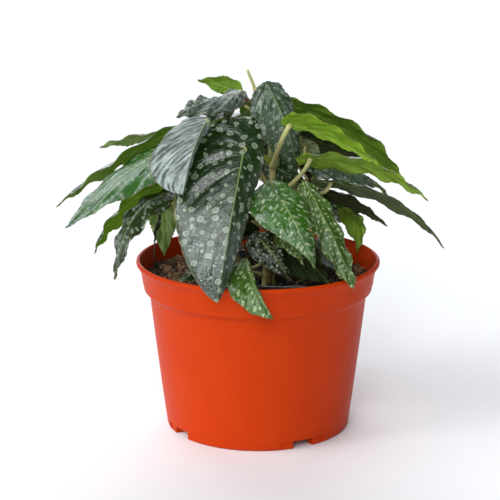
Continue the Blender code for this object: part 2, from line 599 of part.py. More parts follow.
def blade_point(shape, turn, across):
    """Point of the blade's middle surface: turn runs from lobe to tip, across from -1 to 1."""
    side = 1 if across > 0 else 0
    half = (shape["left"], shape["right"])[side]
    taper = shape["taper"][side]
    length = (Vector(shape["tip"]) - Vector(shape["joint"])).length
    lobe = shape["lobe"]
    cleft = math.radians(shape["cleft"])
    angle = cleft + (math.pi - cleft) * turn
    reach = (1 - lobe) / 2 - (1 + lobe) / 2 * math.cos(angle)
    peak = 2 * math.atan(1 / math.sqrt(taper + 1))
    crest = math.sin(peak) * math.cos(peak / 2) ** taper
    width = half * math.sin(angle) * max(math.cos(angle / 2), 0) ** taper / crest
    width = max(width, TIP_HALF_WIDTH / length) if turn < 1 else 0
    centre = -SINUS + (1 + SINUS) * turn ** 1.35
    along = centre + (reach - centre) * abs(across)
    point, forward = leaf_axis(shape, along)
    share = min(max(along, 0), 1)
    face = Vector(shape["face"]) * (1 - share) + Vector(shape["tip_face"]) * share
    up = (face - forward * face.dot(forward)).normalized()
    aside = forward.cross(up)
    spread = abs(across) * width * length
    fold = math.radians(shape["fold"][side])
    curl = math.radians(shape["curl"][side])
    flat = 0.35 + 0.65 * min(1, max(0, share * 4))
    lean = fold * flat + curl * abs(across) * 0.5
    rise = shape["wave"] * across * across * math.cos(math.pi * shape["waves"] * turn)
    rise *= math.sin(math.pi * min(turn * 1.05, 1)) ** 0.5
    sign = 2 * side - 1
    return point + aside * sign * spread * math.cos(lean) + up * (rise - spread * math.sin(lean))


def blade_grid(shape, columns):
    """Rows of points on the blade's middle surface, from the lobes to the tip."""
    grid = []
    for i in range(shape["rows"]):
        grid.append([
            blade_point(shape, i / shape["rows"], j / columns) for j in range(-columns, columns + 1)])
    return grid, Vector(shape["tip"])


def make_leaf(name, shape, material):
    """One blade as a thin closed solid, split into triangles alike on both faces."""
    columns = shape["columns"]
    grid, tip = blade_grid(shape, columns)
    width = 2 * columns + 1
    points = [p for row in grid for p in row] + [tip]
    count = len(points)
    triangles = []
    for i in range(shape["rows"] - 1):
        for j in range(width - 1):
            a, b = i * width + j, i * width + j + 1
            c, d = a + width, b + width
            triangles += [(a, b, d), (a, d, c)] if j < columns else [(a, b, c), (b, d, c)]
    last = (shape["rows"] - 1) * width
    triangles += [(last + j, last + j + 1, count - 1) for j in range(width - 1)]
    normals = [Vector() for _ in points]
    for a, b, c in triangles:
        normal = (points[b] - points[a]).cross(points[c] - points[a])
        for k in (a, b, c):
            normals[k] += normal
    half = shape["thick"] / 2
    build = bmesh.new()
    top = [build.verts.new(p + n.normalized() * half) for p, n in zip(points, normals)]
    low = [build.verts.new(p - n.normalized() * half) for p, n in zip(points, normals)]
    for a, b, c in triangles:
        build.faces.new((top[a], top[b], top[c]))
        build.faces.new((low[c], low[b], low[a]))
    border = list(range(width))
    border += [i * width + width - 1 for i in range(1, shape["rows"])] + [count - 1]
    border += [i * width for i in range(shape["rows"] - 1, 0, -1)]
    for a, b in zip(border, border[1:] + border[:1]):
        build.faces.new((top[a], low[a], low[b]))
        build.faces.new((top[a], low[b], top[b]))
    bmesh.ops.recalc_face_normals(build, faces=build.faces)
    return new_object(name, build, material)


def stalk_route(shape):
    """Route of a leaf stalk from the cane's axis to just under the blade's joint."""
    joint = Vector(shape["joint"])
    _, forward = leaf_axis(shape, 0)
    face = Vector(shape["face"])
    up = (face - forward * face.dot(forward)).normalized()
    radius = shape["stalk"]
    steepest = max(shape["fold"])
    clear = shape["thick"] / 2 + GAP + 0.5 + radius * math.tan(math.radians(max(steepest, 0) * 0.35 + 12))
    end = joint - up * clear
    start = Vector(shape["start"])
    reach = (end - start).length
    leave = Vector(shape["leave"]).normalized()
    arrive = (up * 0.95 + forward * 0.25).normalized()
    if shape["arrive"]:
        arrive = Vector(shape["arrive"]).normalized()
    bend = min(14, reach * 0.45)
    return bezier(start, start + leave * reach * 0.3, end - arrive * bend, end, 4)


def make_cane(name, cane, shapes, material):
    """A cane with its nodes, the stalks of its leaves and its stipules, joined into one body."""
    route = smooth_route(cane["route"], 12)
    thick, thin = cane["radii"]
    radii = []
    for i in range(len(route)):
        share = i / (len(route) - 1)
        swell = 1.12 if i % 3 == 2 else 1.0
        radii.append((thick + (thin - thick) * share) * (swell if i > 3 else 1.0))
    obj = new_object(name, tube(route, radii, STEM_SIDES), material)
    group = bpy.data.collections.new(name + " stalks")
    bpy.context.scene.collection.children.link(group)
    for shape in shapes:
        path = stalk_route(shape)
        radius = shape["stalk"]
        sizes = [radius * (1.25 - 0.25 * min(1, i / 2)) for i in range(len(path))]
        stalk = new_object("stalk", tube(path, sizes, PETIOLE_SIDES))
        group.objects.link(stalk)
        bpy.context.scene.collection.objects.unlink(stalk)
    for foot, tip in cane["stipules"]:
        path = bezier(Vector(foot), Vector(foot).lerp(Vector(tip), 0.4), Vector(tip), Vector(tip), 2)
        stipule = new_object("stipule", tube(path, (STIPULE, STIPULE * 0.8, STIPULE * 0.2), 4))
        group.objects.link(stipule)
        bpy.context.scene.collection.objects.unlink(stipule)
    apply_boolean(obj, "UNION", group=group)
    obj.data.materials.clear()
    obj.data.materials.append(material)
    return obj


def main():
    reset_scene()
    make_pot(new_material("orange polypropylene", *ORANGE))
    make_inner_pot(new_material("black polypropylene", *BLACK))
    make_coir(new_material("coir", *COIR))
    make_soil(new_material("potting soil", *SOIL))
    green = new_material("cane green", *CANE)
    for name, cane in CANES.items():
        make_cane(name, cane, [s for s in LEAVES.values() if s["cane"] == name], green)
    for name, shape in LEAVES.items():
        make_leaf(name, shape, new_material(name, *LEAF))


main()
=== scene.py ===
# %% [markdown]
# # A spotted begonia in its nursery pot
#
# The frame holds plain solids of the pot, the soil, the canes and the leaves. This script gives each of
# them its real surface: moulded plastic, loose coir, waxy leaves with their veins, spots and toothed edges.
# Lengths below are in millimetres, because a plant's parts are easier to picture that way, and they are
# turned to metres once, when a mesh is made.

# %% Load the frame
import math
import random

import bmesh
import bpy
import numpy as np
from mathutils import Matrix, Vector, noise


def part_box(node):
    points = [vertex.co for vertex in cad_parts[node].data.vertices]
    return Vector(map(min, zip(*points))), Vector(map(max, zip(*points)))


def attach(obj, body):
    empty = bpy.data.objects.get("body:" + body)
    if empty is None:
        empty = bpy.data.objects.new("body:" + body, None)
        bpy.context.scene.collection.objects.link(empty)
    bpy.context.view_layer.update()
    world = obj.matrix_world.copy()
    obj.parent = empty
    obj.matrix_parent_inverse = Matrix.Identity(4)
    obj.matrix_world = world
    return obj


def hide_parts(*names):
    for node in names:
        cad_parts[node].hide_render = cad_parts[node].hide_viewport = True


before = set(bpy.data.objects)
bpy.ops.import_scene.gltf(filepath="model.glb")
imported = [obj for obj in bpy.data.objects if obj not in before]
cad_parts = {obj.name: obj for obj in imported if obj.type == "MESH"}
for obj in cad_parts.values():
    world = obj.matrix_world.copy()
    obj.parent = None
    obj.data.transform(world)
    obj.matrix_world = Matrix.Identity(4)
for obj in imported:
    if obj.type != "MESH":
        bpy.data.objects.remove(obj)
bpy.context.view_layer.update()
MM = 0.001
GAP = 0.3

# %% [markdown]
# ## Camera
#
# The photograph looks slightly down on the pot from more than a metre away with a long lens. A long lens
# keeps the rim's ellipse flat, so the camera's distance and tilt were chosen until the rim, the collar and
# the foot all met their edges in the picture.

# %% Camera
CAMERA_PLACE = (-5.25, -1137.2, 412.8)
CAMERA_DIP = 14.58
LENS = 129.6

camera_data = bpy.data.cameras.new("camera")
camera_data.lens = LENS
camera_data.sensor_width = 36
camera = bpy.data.objects.new("camera", camera_data)
camera.location = [c * MM for c in CAMERA_PLACE]
camera.rotation_euler = (math.radians(90 - CAMERA_DIP), 0, 0)
bpy.context.scene.collection.objects.link(camera)
bpy.context.scene.camera = camera
print("camera:", LENS, "mm lens at", CAMERA_PLACE)

# %% [markdown]
# ## Light
#
# The plant stood under a roof by a bright open side: light comes as a low band from the left and the front,
# which leaves mirror in their lower halves, and more weakly from behind, where it shines through the thin
# blades. Overhead it is darker. A sun lamp with a very wide disc gives such light evenly over the floor, and
# a small brighter disc in each open side makes the white glints on creased wax.
# Plain sRGB output keeps the pot's orange as it is.

# %% Lights and floor
def linear(hex_colour):
    """Turn an sRGB hex value into linear red, green, blue and alpha."""
    channels = [int(hex_colour[i:i + 2], 16) / 255 for i in (0, 2, 4)]
    return [c / 12.92 if c <= 0.04045 else ((c + 0.055) / 1.055) ** 2.4 for c in channels] + [1.0]


def sky_light(name, direction, strength, width, colour):
    """Add a sun lamp that shines from a direction, with a disc so many degrees wide."""
    data = bpy.data.lights.new(name, "SUN")
    data.energy = strength
    data.angle = math.radians(width)
    data.color = linear(colour)[:3]
    lamp = bpy.data.objects.new(name, data)
    lamp.location = direction
    lamp.rotation_euler = Vector(direction).to_track_quat("Z", "Y").to_euler()
    bpy.context.scene.collection.objects.link(lamp)


sky_light("open side on the left", (-0.82, -0.28, 0.52), 1.9, 54, "F6F9FF")
sky_light("brightest cloud on the left", (-0.80, -0.36, 0.48), 0.5, 14, "FFFFFF")
sky_light("open side in front", (-0.20, -0.82, 0.54), 1.6, 46, "F8FAFF")
sky_light("brightest cloud in front", (-0.16, -0.85, 0.48), 0.5, 12, "FFFFFF")
sky_light("sky behind", (-0.10, 0.80, 0.55), 2.2, 60, "F4F8FF")

world = bpy.data.worlds.new("studio")
world.use_nodes = True
world.node_tree.nodes["Background"].inputs["Color"].default_value = linear("FFFFFF")
world.node_tree.nodes["Background"].inputs["Strength"].default_value = 0.12
bpy.context.scene.world = world
bpy.context.scene.view_settings.view_transform = "Standard"

bpy.ops.object.select_all(action="DESELECT")
bpy.ops.mesh.primitive_plane_add(size=30, location=(0, 0, -0.0002))
floor = bpy.context.object
floor.name = "floor"
bpy.ops.object.transform_apply(location=True, rotation=True, scale=True)
paper = bpy.data.materials.new("white backdrop paper")
paper.use_nodes = True
paper.node_tree.nodes["Principled BSDF"].inputs["Base Color"].default_value = linear("F0F0F0")
paper.node_tree.nodes["Principled BSDF"].inputs["Roughness"].default_value = 0.9
floor.data.materials.append(paper)
print("lights:", len(bpy.data.lights), "discs of sky, floor", floor.dimensions[0], "m")

# %% [markdown]
# ## Small helpers
#
# A material is a graph of nodes. Adding a node always takes the same steps, so one function does it: it
# sets the node's own options and feeds its sockets with plain values or with another node's output.
# A second function turns lists of points and faces into an object that rides on the frame and stands for
# the solids that it replaces.

# %% Helpers
def add(material, kind, inputs=None, **settings):
    """Add a shader node, set its options, and feed its sockets with values or other outputs."""
    node = material.node_tree.nodes.new("ShaderNode" + kind)
    for key, value in settings.items():
        setattr(node, key, value)
    for socket, value in (inputs or {}).items():
        if isinstance(value, bpy.types.NodeSocket):
            material.node_tree.links.new(value, node.inputs[socket])
        else:
            node.inputs[socket].default_value = value
    return node


def start_material(name, colour, roughness, ior=1.5):
    """A Principled material with its plain values, ready for its patterns."""
    material = bpy.data.materials.new(name)
    material.use_nodes = True
    shader = material.node_tree.nodes["Principled BSDF"]
    shader.inputs["Base Color"].default_value = linear(colour)
    shader.inputs["Roughness"].default_value = roughness
    shader.inputs["IOR"].default_value = ior
    return material, shader


def feed(material, output, socket):
    """Link an output to a socket."""
    material.node_tree.links.new(output, socket)


def new_piece(name, points, faces, nodes, materials, face_slots=None, smooth=True):
    """Make a piece from points in millimetres, and tie it to the frame."""
    mesh = bpy.data.meshes.new(name)
    mesh.from_pydata([tuple(float(c) * MM for c in p) for p in points], [], faces)
    for material in materials:
        mesh.materials.append(material)
    if face_slots is not None:
        mesh.polygons.foreach_set("material_index", face_slots)
    if smooth:
        mesh.shade_smooth()
    mesh.validate()
    piece = bpy.data.objects.new(name, mesh)
    bpy.context.scene.collection.objects.link(piece)
    tie(piece, nodes)
    return piece


def tie(piece, nodes):
    """The piece rides on the only body and stands for these solids, which are hidden."""
    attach(piece, "root")
    if nodes:
        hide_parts(*nodes)


def set_values(piece, name, kind, values):
    """Store one value or vector for each point of a mesh, for a material to read."""
    layer = piece.data.attributes.new(name, kind, "POINT")
    field = {"FLOAT": "value", "FLOAT_VECTOR": "vector", "FLOAT_COLOR": "color"}[kind]
    layer.data.foreach_set(field, np.asarray(values, dtype=np.float32).ravel())


def count(piece):
    """Triangles of a piece."""
    return sum(len(p.vertices) - 2 for p in piece.data.polygons)

# %% [markdown]
# ## The pot's plastic
#
# The pot is injection-moulded polypropylene. The moulder's tool is lightly textured, so the outside is
# satin: it shows broad soft highlights. Cooling leaves a faint cloudiness in colour, and handling leaves
# fine level scuffs. Light enters the thin wall a little, which keeps the shaded side warm.

# %% Orange polypropylene
def make_orange():
    material, shader = start_material("orange polypropylene", "BA360A", 0.42, 1.49)
    shader.inputs["Specular IOR Level"].default_value = 0.07
    shader.inputs["Subsurface Weight"].default_value = 0.04
    shader.inputs["Subsurface Radius"].default_value = (1.0, 0.35, 0.1)
    shader.inputs["Subsurface Scale"].default_value = 1.5 * MM
    place = add(material, "TexCoord").outputs["Object"]
    cloud = add(material, "TexNoise", {"Vector": place, "Scale": 1 / (24 * MM), "Detail": 5.0})
    tint = add(
        material, "Mix", {0: cloud.outputs["Fac"], 6: linear("B43206"), 7: linear("C03C0A")},
        data_type="RGBA")
    feed(material, tint.outputs[2], shader.inputs["Base Color"])
    scuff_place = add(material, "Mapping", {"Vector": place, "Scale": (1, 1, 9)})
    scuff = add(
        material, "TexNoise", {"Vector": scuff_place.outputs[0], "Scale": 1 / (9 * MM), "Detail": 8.0})
    rough = add(
        material, "MapRange", {"Value": scuff.outputs["Fac"], "From Min": 0.3, "From Max": 0.7,
                               "To Min": 0.36, "To Max": 0.52})
    feed(material, rough.outputs[0], shader.inputs["Roughness"])
    grain = add(material, "TexNoise", {"Vector": place, "Scale": 1 / (0.7 * MM), "Detail": 3.0})
    bump = add(
        material, "Bump", {"Height": grain.outputs["Fac"], "Strength": 0.14, "Distance": 0.12 * MM})
    feed(material, bump.outputs[0], shader.inputs["Normal"])
    return material


orange = make_orange()
print("material:", orange.name)

# %% [markdown]
# ## The round pot
#
# A moulded pot is a turned shape, so its section is drawn once, as radius and height, and spun about the
# axis. The section follows the solid of the frame, with its corners rounded and with the pair of fine
# steps at the collar's foot. The slots of the foot ring are then cut out, each inside a shallow recess.

# %% Pot section
POT_HEIGHT = float(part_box("pot")[1][2]) / MM
RIM_RADIUS = float(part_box("pot")[1][0]) / MM
FOOT_RADIUS = 60.0
BODY_RADIUS = 70.9
BODY_TOP_Z = 88.3
COLLAR_RADIUS = RIM_RADIUS - 3.9
COLLAR_FOOT_Z = 93.6
WALL = 1.3
FLOOR_Z = 6.0


def body_radius(z):
    """Outer radius of the pot's wall under its collar."""
    return FOOT_RADIUS + (BODY_RADIUS - FOOT_RADIUS) * (z / BODY_TOP_Z) ** 0.93


def inside_radius(z):
    """Inner radius of the pot's wall."""
    if z < BODY_TOP_Z:
        return body_radius(z) - WALL
    return BODY_RADIUS - WALL + (z - BODY_TOP_Z) * 0.24


def pot_section():
    """Closed outline of the wall as radius and height, up the outside and down the inside."""
    c = COLLAR_RADIUS
    outside = [(FOOT_RADIUS - 1.4, 0), (FOOT_RADIUS - 0.6, 0.15), (FOOT_RADIUS, 0.7), (body_radius(1.6), 1.6)]
    outside += [(body_radius(z), z) for z in np.linspace(6, BODY_TOP_Z, 12)]
    outside += [
        (71.6, 89.6), (72.6, 90.9), (c - 1.9, 91.9), (c - 1.3, 92.5), (c - 1.0, 93.2),
        (c - 0.85, 95.9), (c - 0.8, 96.15), (c - 0.35, 96.3), (c - 0.25, 96.6), (c + 0.1, 99.2),
        (c + 0.6, 102.4), (c + 1.1, 104.8), (c + 1.8, 106.6), (c + 2.7, 108.0), (RIM_RADIUS - 0.6, 108.9),
        (RIM_RADIUS - 0.15, 109.5), (RIM_RADIUS, 110.4), (RIM_RADIUS - 0.15, 111.2),
        (RIM_RADIUS - 0.6, 111.8), (RIM_RADIUS - 1.2, POT_HEIGHT), (RIM_RADIUS - 1.9, POT_HEIGHT - 0.05),
        (RIM_RADIUS - 2.5, POT_HEIGHT - 0.5), (RIM_RADIUS - 2.9, 111.0)]
    inside = [(c + 0.2, 109.5), (c - 0.9, 107.6), (inside_radius(104), 104)]
    inside += [(inside_radius(z), z) for z in (BODY_TOP_Z + 3, BODY_TOP_Z, 50, 14, 10)]
    inside += [(inside_radius(FLOOR_Z) - 2, 7.6), (0, 7.6), (0, FLOOR_Z), (54.6, FLOOR_Z), (54.2, 5.6)]
    inside += [(54, 0.3), (54.3, 0)]
    return outside + inside


print("pot section:", len(pot_section()), "points")

# %% Spin the section and cut the slots
SLOT_ANGLES = (29, 122, 212, 303)
SPIN_STEPS = 176


def spun_pot():
    """Spin the section about the axis and close the seam."""
    section = [(r * MM, 0, z * MM) for r, z in pot_section()]
    mesh = bpy.data.meshes.new("round_pot")
    mesh.from_pydata(section, [(i, (i + 1) % len(section)) for i in range(len(section))], [])
    piece = bpy.data.objects.new("round_pot", mesh)
    bpy.context.scene.collection.objects.link(piece)
    bpy.ops.object.select_all(action="DESELECT")
    bpy.context.view_layer.objects.active = piece
    piece.select_set(True)
    bpy.ops.object.mode_set(mode="EDIT")
    bpy.ops.mesh.select_all(action="SELECT")
    bpy.ops.mesh.spin(steps=SPIN_STEPS, angle=math.tau, center=(0, 0, 0), axis=(0, 0, 1))
    bpy.ops.mesh.select_all(action="SELECT")
    bpy.ops.mesh.remove_doubles(threshold=0.00001)
    bpy.ops.mesh.normals_make_consistent(inside=False)
    bpy.ops.object.mode_set(mode="OBJECT")
    return piece


def arc_cutter(angle, arc, inner, outer, top):
    """A block bounded by two arcs about the axis, from under the floor to a height."""
    angles = np.radians(np.linspace(angle - arc / 2, angle + arc / 2, 13))
    ring = [(outer * math.cos(a), outer * math.sin(a)) for a in angles]
    ring += [(inner * math.cos(a), inner * math.sin(a)) for a in angles[::-1]]
    n = len(ring)
    points = [(x * MM, y * MM, z * MM) for z in (-1, top) for x, y in ring]
    faces = [tuple(range(n))[::-1], tuple(range(n, 2 * n))]
    faces += [(i, (i + 1) % n, n + (i + 1) % n, n + i) for i in range(n)]
    mesh = bpy.data.meshes.new("cutter")
    mesh.from_pydata(points, [], faces)
    cutter = bpy.data.objects.new("cutter", mesh)
    bpy.context.scene.collection.objects.link(cutter)
    return cutter


def cut(piece, cutter):
    """Take a cutter away from a piece and delete the cutter."""
    modifier = piece.modifiers.new("cut", "BOOLEAN")
    modifier.operation = "DIFFERENCE"
    modifier.object = cutter
    bpy.context.view_layer.objects.active = piece
    bpy.ops.object.modifier_apply(modifier="cut")
    bpy.data.objects.remove(cutter, do_unlink=True)


round_pot = spun_pot()
for slot_angle in SLOT_ANGLES:
    cut(round_pot, arc_cutter(slot_angle - 90, 31, 59.5, 64, 5.5))
    cut(round_pot, arc_cutter(slot_angle - 90, 14, 46, 64, 4.9))
    bpy.ops.mesh.primitive_cylinder_add(
        vertices=32, radius=4 * MM, depth=8 * MM,
        location=(40 * MM * math.cos(math.radians(slot_angle - 90)),
                  40 * MM * math.sin(math.radians(slot_angle - 90)), 6.8 * MM))
    cut(round_pot, bpy.context.object)
round_pot.data.materials.clear()
round_pot.data.materials.append(orange)
round_pot.data.shade_smooth()
round_pot.data.set_sharp_from_angle(angle=math.radians(35))
tie(round_pot, ["pot"])
print("pot:", count(round_pot), "triangles")

# %% [markdown]
# ## The square grower's pot
#
# The plant was sold in a thin square pot, blown or moulded from black plastic, and the gardener sank it in
# the round one as it was. Its wall is under a millimetre thick. Rounded squares are stacked and skinned,
# from the foot up the outside, over the folded lip and back down the inside past the stacking step.

# %% Black polypropylene
def make_black():
    material, shader = start_material("black polypropylene", "15171C", 0.33, 1.49)
    place = add(material, "TexCoord").outputs["Object"]
    dust = add(material, "TexNoise", {"Vector": place, "Scale": 1 / (5 * MM), "Detail": 6.0})
    stain = add(
        material, "MapRange", {"Value": dust.outputs["Fac"], "From Min": 0.5, "From Max": 0.72})
    tint = add(
        material, "Mix", {0: stain.outputs[0], 6: linear("14161D"), 7: linear("33291F")}, data_type="RGBA")
    feed(material, tint.outputs[2], shader.inputs["Base Color"])
    rough = add(material, "MapRange", {"Value": stain.outputs[0], "To Min": 0.28, "To Max": 0.8})
    feed(material, rough.outputs[0], shader.inputs["Roughness"])
    bump = add(
        material, "Bump", {"Height": dust.outputs["Fac"], "Strength": 0.2, "Distance": 0.2 * MM})
    feed(material, bump.outputs[0], shader.inputs["Normal"])
    return material


black = make_black()

# %% Square pot
INNER_CENTRE = (16.0, -5.0)
INNER_TURN = -4.0
INNER_SIDE = 89.0
INNER_FOOT_SIDE = 66.0
INNER_RIM_Z = float(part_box("inner_pot")[1][2]) / MM
INNER_FOOT_Z = float(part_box("inner_pot")[0][2]) / MM
INNER_WALL = 0.9
INNER_CORNER = 14.0
LIP_Z = INNER_RIM_Z - 5.2
UNDER_LIP = INNER_SIDE - 4.7


def rounded_square(side, corner, z, arc_points=8):
    """Points round a square with rounded corners, placed and turned as the grower's pot."""
    points = []
    reach = side / 2 - corner
    turn = math.radians(INNER_TURN)
    for quarter in range(4):
        middle = math.radians(45 + 90 * quarter)
        for i in range(arc_points):
            a = math.radians(90 * quarter + 90 * i / (arc_points - 1))
            x = math.copysign(reach, math.cos(middle)) + corner * math.cos(a)
            y = math.copysign(reach, math.sin(middle)) + corner * math.sin(a)
            points.append((
                INNER_CENTRE[0] + x * math.cos(turn) - y * math.sin(turn),
                INNER_CENTRE[1] + x * math.sin(turn) + y * math.cos(turn), z))
    return points


def skin(rings):
    """Points and faces of a stack of rings, closed with a fan at each end."""
    n = len(rings[0])
    points = [p for ring in rings for p in ring]
    faces = []
    for k in range(len(rings) - 1):
        faces += [(k * n + i, k * n + (i + 1) % n, (k + 1) * n + (i + 1) % n, (k + 1) * n + i) for i in range(n)]
    points += [tuple(np.mean(rings[0], axis=0)), tuple(np.mean(rings[-1], axis=0))]
    last = (len(rings) - 1) * n
    faces += [((i + 1) % n, i, len(points) - 2) for i in range(n)]
    faces += [(last + i, last + (i + 1) % n, len(points) - 1) for i in range(n)]
    return points, faces


def grower_wall(z):
    """Outer side of the grower's pot's wall at a height, below its lip."""
    return INNER_FOOT_SIDE + (UNDER_LIP - INNER_FOOT_SIDE) * (z - INNER_FOOT_Z) / (LIP_Z - INNER_FOOT_Z)


def grower_corner(z):
    """Corner radius of the grower's pot at a height."""
    return INNER_CORNER - 4 * (LIP_Z - z) / (LIP_Z - INNER_FOOT_Z)


def square_pot():
    thin = 2 * INNER_WALL
    side, corner = INNER_SIDE, INNER_CORNER
    rings = [rounded_square(INNER_FOOT_SIDE, corner - 4, INNER_FOOT_Z)]
    rings += [rounded_square(grower_wall(z), grower_corner(z), z) for z in (50, 75, LIP_Z - 0.6)]
    rings += [rounded_square(UNDER_LIP + 0.6, corner, LIP_Z), rounded_square(side - 0.8, corner, LIP_Z + 0.1)]
    rings += [rounded_square(side - 0.3, corner, LIP_Z + 0.6), rounded_square(side - 0.1, corner, INNER_RIM_Z - 0.7)]
    rings += [rounded_square(side - 0.4, corner, INNER_RIM_Z - 0.15), rounded_square(side - 0.9, corner, INNER_RIM_Z)]
    rings += [rounded_square(side - thin + 0.1, corner, INNER_RIM_Z - 0.15)]
    rings += [rounded_square(side - thin - 0.4, corner, LIP_Z + 2.2), rounded_square(side - thin - 1.0, corner, LIP_Z + 1.5)]
    rings += [rounded_square(UNDER_LIP - thin + 0.7, corner, LIP_Z + 0.9)]
    rings += [rounded_square(UNDER_LIP - thin, corner, LIP_Z + 0.3)]
    rings += [rounded_square(grower_wall(z) - thin, grower_corner(z), z) for z in (75, 50)]
    rings += [rounded_square(INNER_FOOT_SIDE - thin, corner - 4, INNER_FOOT_Z + INNER_WALL)]
    points, faces = skin(rings)
    piece = new_piece("grower_pot", points, faces, ["inner_pot"], [black])
    piece.data.set_sharp_from_angle(angle=math.radians(50))
    return piece


grower_pot = square_pot()
print("square pot:", count(grower_pot), "triangles")

# %% [markdown]
# ## Coir and potting soil
#
# Round the square pot lies coir: crumbled coconut husk, a springy mix of chips, pith and hairs in browns
# from rust to tan. The plant's own soil is older, wetter and nearly black. Both are made in layers: an
# uneven ground that follows the frame's solid, crumbs and chips strewn on it, and hairs or roots on top.
# The strewn pieces are one mesh each, with a tint stored for each crumb, so that no two look alike.

# %% Husk and soil materials
def make_strewn(name, dark, light, roughness, grain_mm):
    """A rough material whose colour runs from dark to light by each crumb's own tint."""
    material, shader = start_material(name, dark, roughness, 1.45)
    tint = add(material, "Attribute", attribute_name="tint").outputs["Fac"]
    place = add(material, "TexCoord").outputs["Object"]
    grain = add(material, "TexNoise", {"Vector": place, "Scale": 1 / (grain_mm * MM), "Detail": 6.0})
    both = add(material, "Math", {0: grain.outputs["Fac"], 1: -0.5}, operation="ADD")
    level = add(material, "Math", {0: both.outputs[0], 1: 1.4, 2: tint}, operation="MULTIPLY_ADD", use_clamp=True)
    colour = add(material, "Mix", {0: level.outputs[0], 6: linear(dark), 7: linear(light)}, data_type="RGBA")
    feed(material, colour.outputs[2], shader.inputs["Base Color"])
    bump = add(
        material, "Bump", {"Height": grain.outputs["Fac"], "Strength": 0.8, "Distance": grain_mm * 0.3 * MM})
    feed(material, bump.outputs[0], shader.inputs["Normal"])
    return material


husk_ground = make_strewn("coir pith", "150E09", "463224", 0.95, 1.6)
husk = make_strewn("coconut husk chips", "27180F", "92704C", 0.85, 1.0)
hair = make_strewn("coir hair", "54301A", "C29A68", 0.7, 2.0)
peat = make_strewn("peat ground", "0B0807", "2A1C14", 0.95, 1.2)
crumb = make_strewn("peat crumbs", "0F0B09", "3F2C20", 0.92, 0.8)
root = make_strewn("fine roots", "3A2C22", "8E7A62", 0.7, 1.5)
print("materials:", husk.name, hair.name, crumb.name, root.name)

# %% Grounds
SEED = 11
CANE_FEET = {"cane_main": (7, 0), "cane_right": (30, 8), "cane_left": (-10, 8), "cane_back": (8, 26), "shoot_front": (4, -22)}


def rough(x, y, size, seed):
    """Smooth noise in the range from about minus one to one, over spots of a size in millimetres."""
    return noise.noise(Vector((x / size, y / size, seed)))


def ground_level(x, y, level, seed):
    """Height of a loose surface: soft heaps with crumbs on them."""
    return level + 1.5 * rough(x, y, 22, seed) + 0.9 * rough(x, y, 6, seed + 3) + 0.5 * rough(x, y, 2.2, seed + 7)


TUCK = 0.93


def heap(name, outer, level, depth, seed, node, material, hole=None):
    """A loose filling: walls down from an outline, and an uneven top, open in the middle if a hole is given."""
    outer = np.array(outer)
    n = len(outer)
    if hole is None:
        centre = outer.mean(axis=0)
        inner = centre + (outer - centre) * 0.02
    else:
        inner = np.array(hole)
    steps = 26
    rings = [[(x * TUCK, y * TUCK, depth) for x, y in outer]]
    for k in range(steps + 1):
        ring = outer + (inner - outer) * k / steps
        rings.append([(x, y, ground_level(x, y, level, seed)) for x, y in ring])
    if hole is not None:
        rings.append([(x * TUCK, y * TUCK, depth) for x, y in inner])
        points = [p for ring in rings for p in ring]
        total = len(rings)
        faces = [
            (k * n + i, k * n + (i + 1) % n, (k + 1) % total * n + (i + 1) % n, (k + 1) % total * n + i)
            for k in range(total) for i in range(n)]
    else:
        points, faces = skin(rings)
    piece = new_piece(name, points, faces, [node], [material])
    set_values(piece, "tint", "FLOAT", [0.3 + 0.25 * rough(x, y, 3, seed + 9) for x, y, _ in points])
    return piece


def outline_by_angle(side, corner, angles):
    """Where rays from the pot's axis meet a rounded square of the grower's pot, for matching two outlines."""
    ring = np.array([p[:2] for p in rounded_square(side, corner, 0, 24)])
    ring_angles = np.unwrap(np.arctan2(ring[:, 1], ring[:, 0]))
    order = np.argsort(ring_angles)
    radii = np.hypot(ring[:, 0], ring[:, 1])
    wrapped = np.concatenate([ring_angles[order] - math.tau, ring_angles[order], ring_angles[order] + math.tau])
    reach = np.interp(angles, wrapped, np.tile(radii[order], 3))
    return np.column_stack([reach * np.cos(angles), reach * np.sin(angles)])


COIR_LEVEL = float(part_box("coir")[1][2]) / MM - 1.4
SOIL_LEVEL = float(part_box("soil")[1][2]) / MM - 1.6
GROUND_ANGLES = np.linspace(0, math.tau, 160, endpoint=False)
coir_reach = inside_radius(COIR_LEVEL - 2) - 0.5
coir_edge = np.column_stack([coir_reach * np.cos(GROUND_ANGLES), coir_reach * np.sin(GROUND_ANGLES)])
coir_hole = outline_by_angle(INNER_SIDE + 0.6, INNER_CORNER, GROUND_ANGLES)
coir_ground = heap("coir_ground", coir_edge, COIR_LEVEL, 80, SEED, "coir", husk_ground, coir_hole)
soil_edge = [p[:2] for p in rounded_square(grower_wall(SOIL_LEVEL) - 2 * INNER_WALL - 0.6, INNER_CORNER - 2, 0, 40)]
soil_ground = heap("soil_ground", soil_edge, SOIL_LEVEL, 80, SEED + 5, "soil", peat)
print("grounds:", count(coir_ground), "and", count(soil_ground), "triangles")

# %% Crumbs, chips, hairs and roots
def in_square(x, y, side):
    """True if a place lies inside the grower's pot's outline."""
    turn = math.radians(-INNER_TURN)
    dx, dy = x - INNER_CENTRE[0], y - INNER_CENTRE[1]
    u = dx * math.cos(turn) - dy * math.sin(turn)
    v = dx * math.sin(turn) + dy * math.cos(turn)
    return max(abs(u), abs(v)) < side / 2


def coir_spot(draw):
    """A random place on the coir."""
    while True:
        a, r = draw.uniform(0, math.tau), 72.5 * math.sqrt(draw.random())
        x, y = r * math.cos(a), r * math.sin(a)
        if not in_square(x, y, INNER_SIDE + 4):
            return x, y


def soil_spot(draw):
    """A random place on the potting soil."""
    while True:
        x, y = INNER_CENTRE[0] + draw.uniform(-42, 42), INNER_CENTRE[1] + draw.uniform(-42, 42)
        if in_square(x, y, 76):
            return x, y


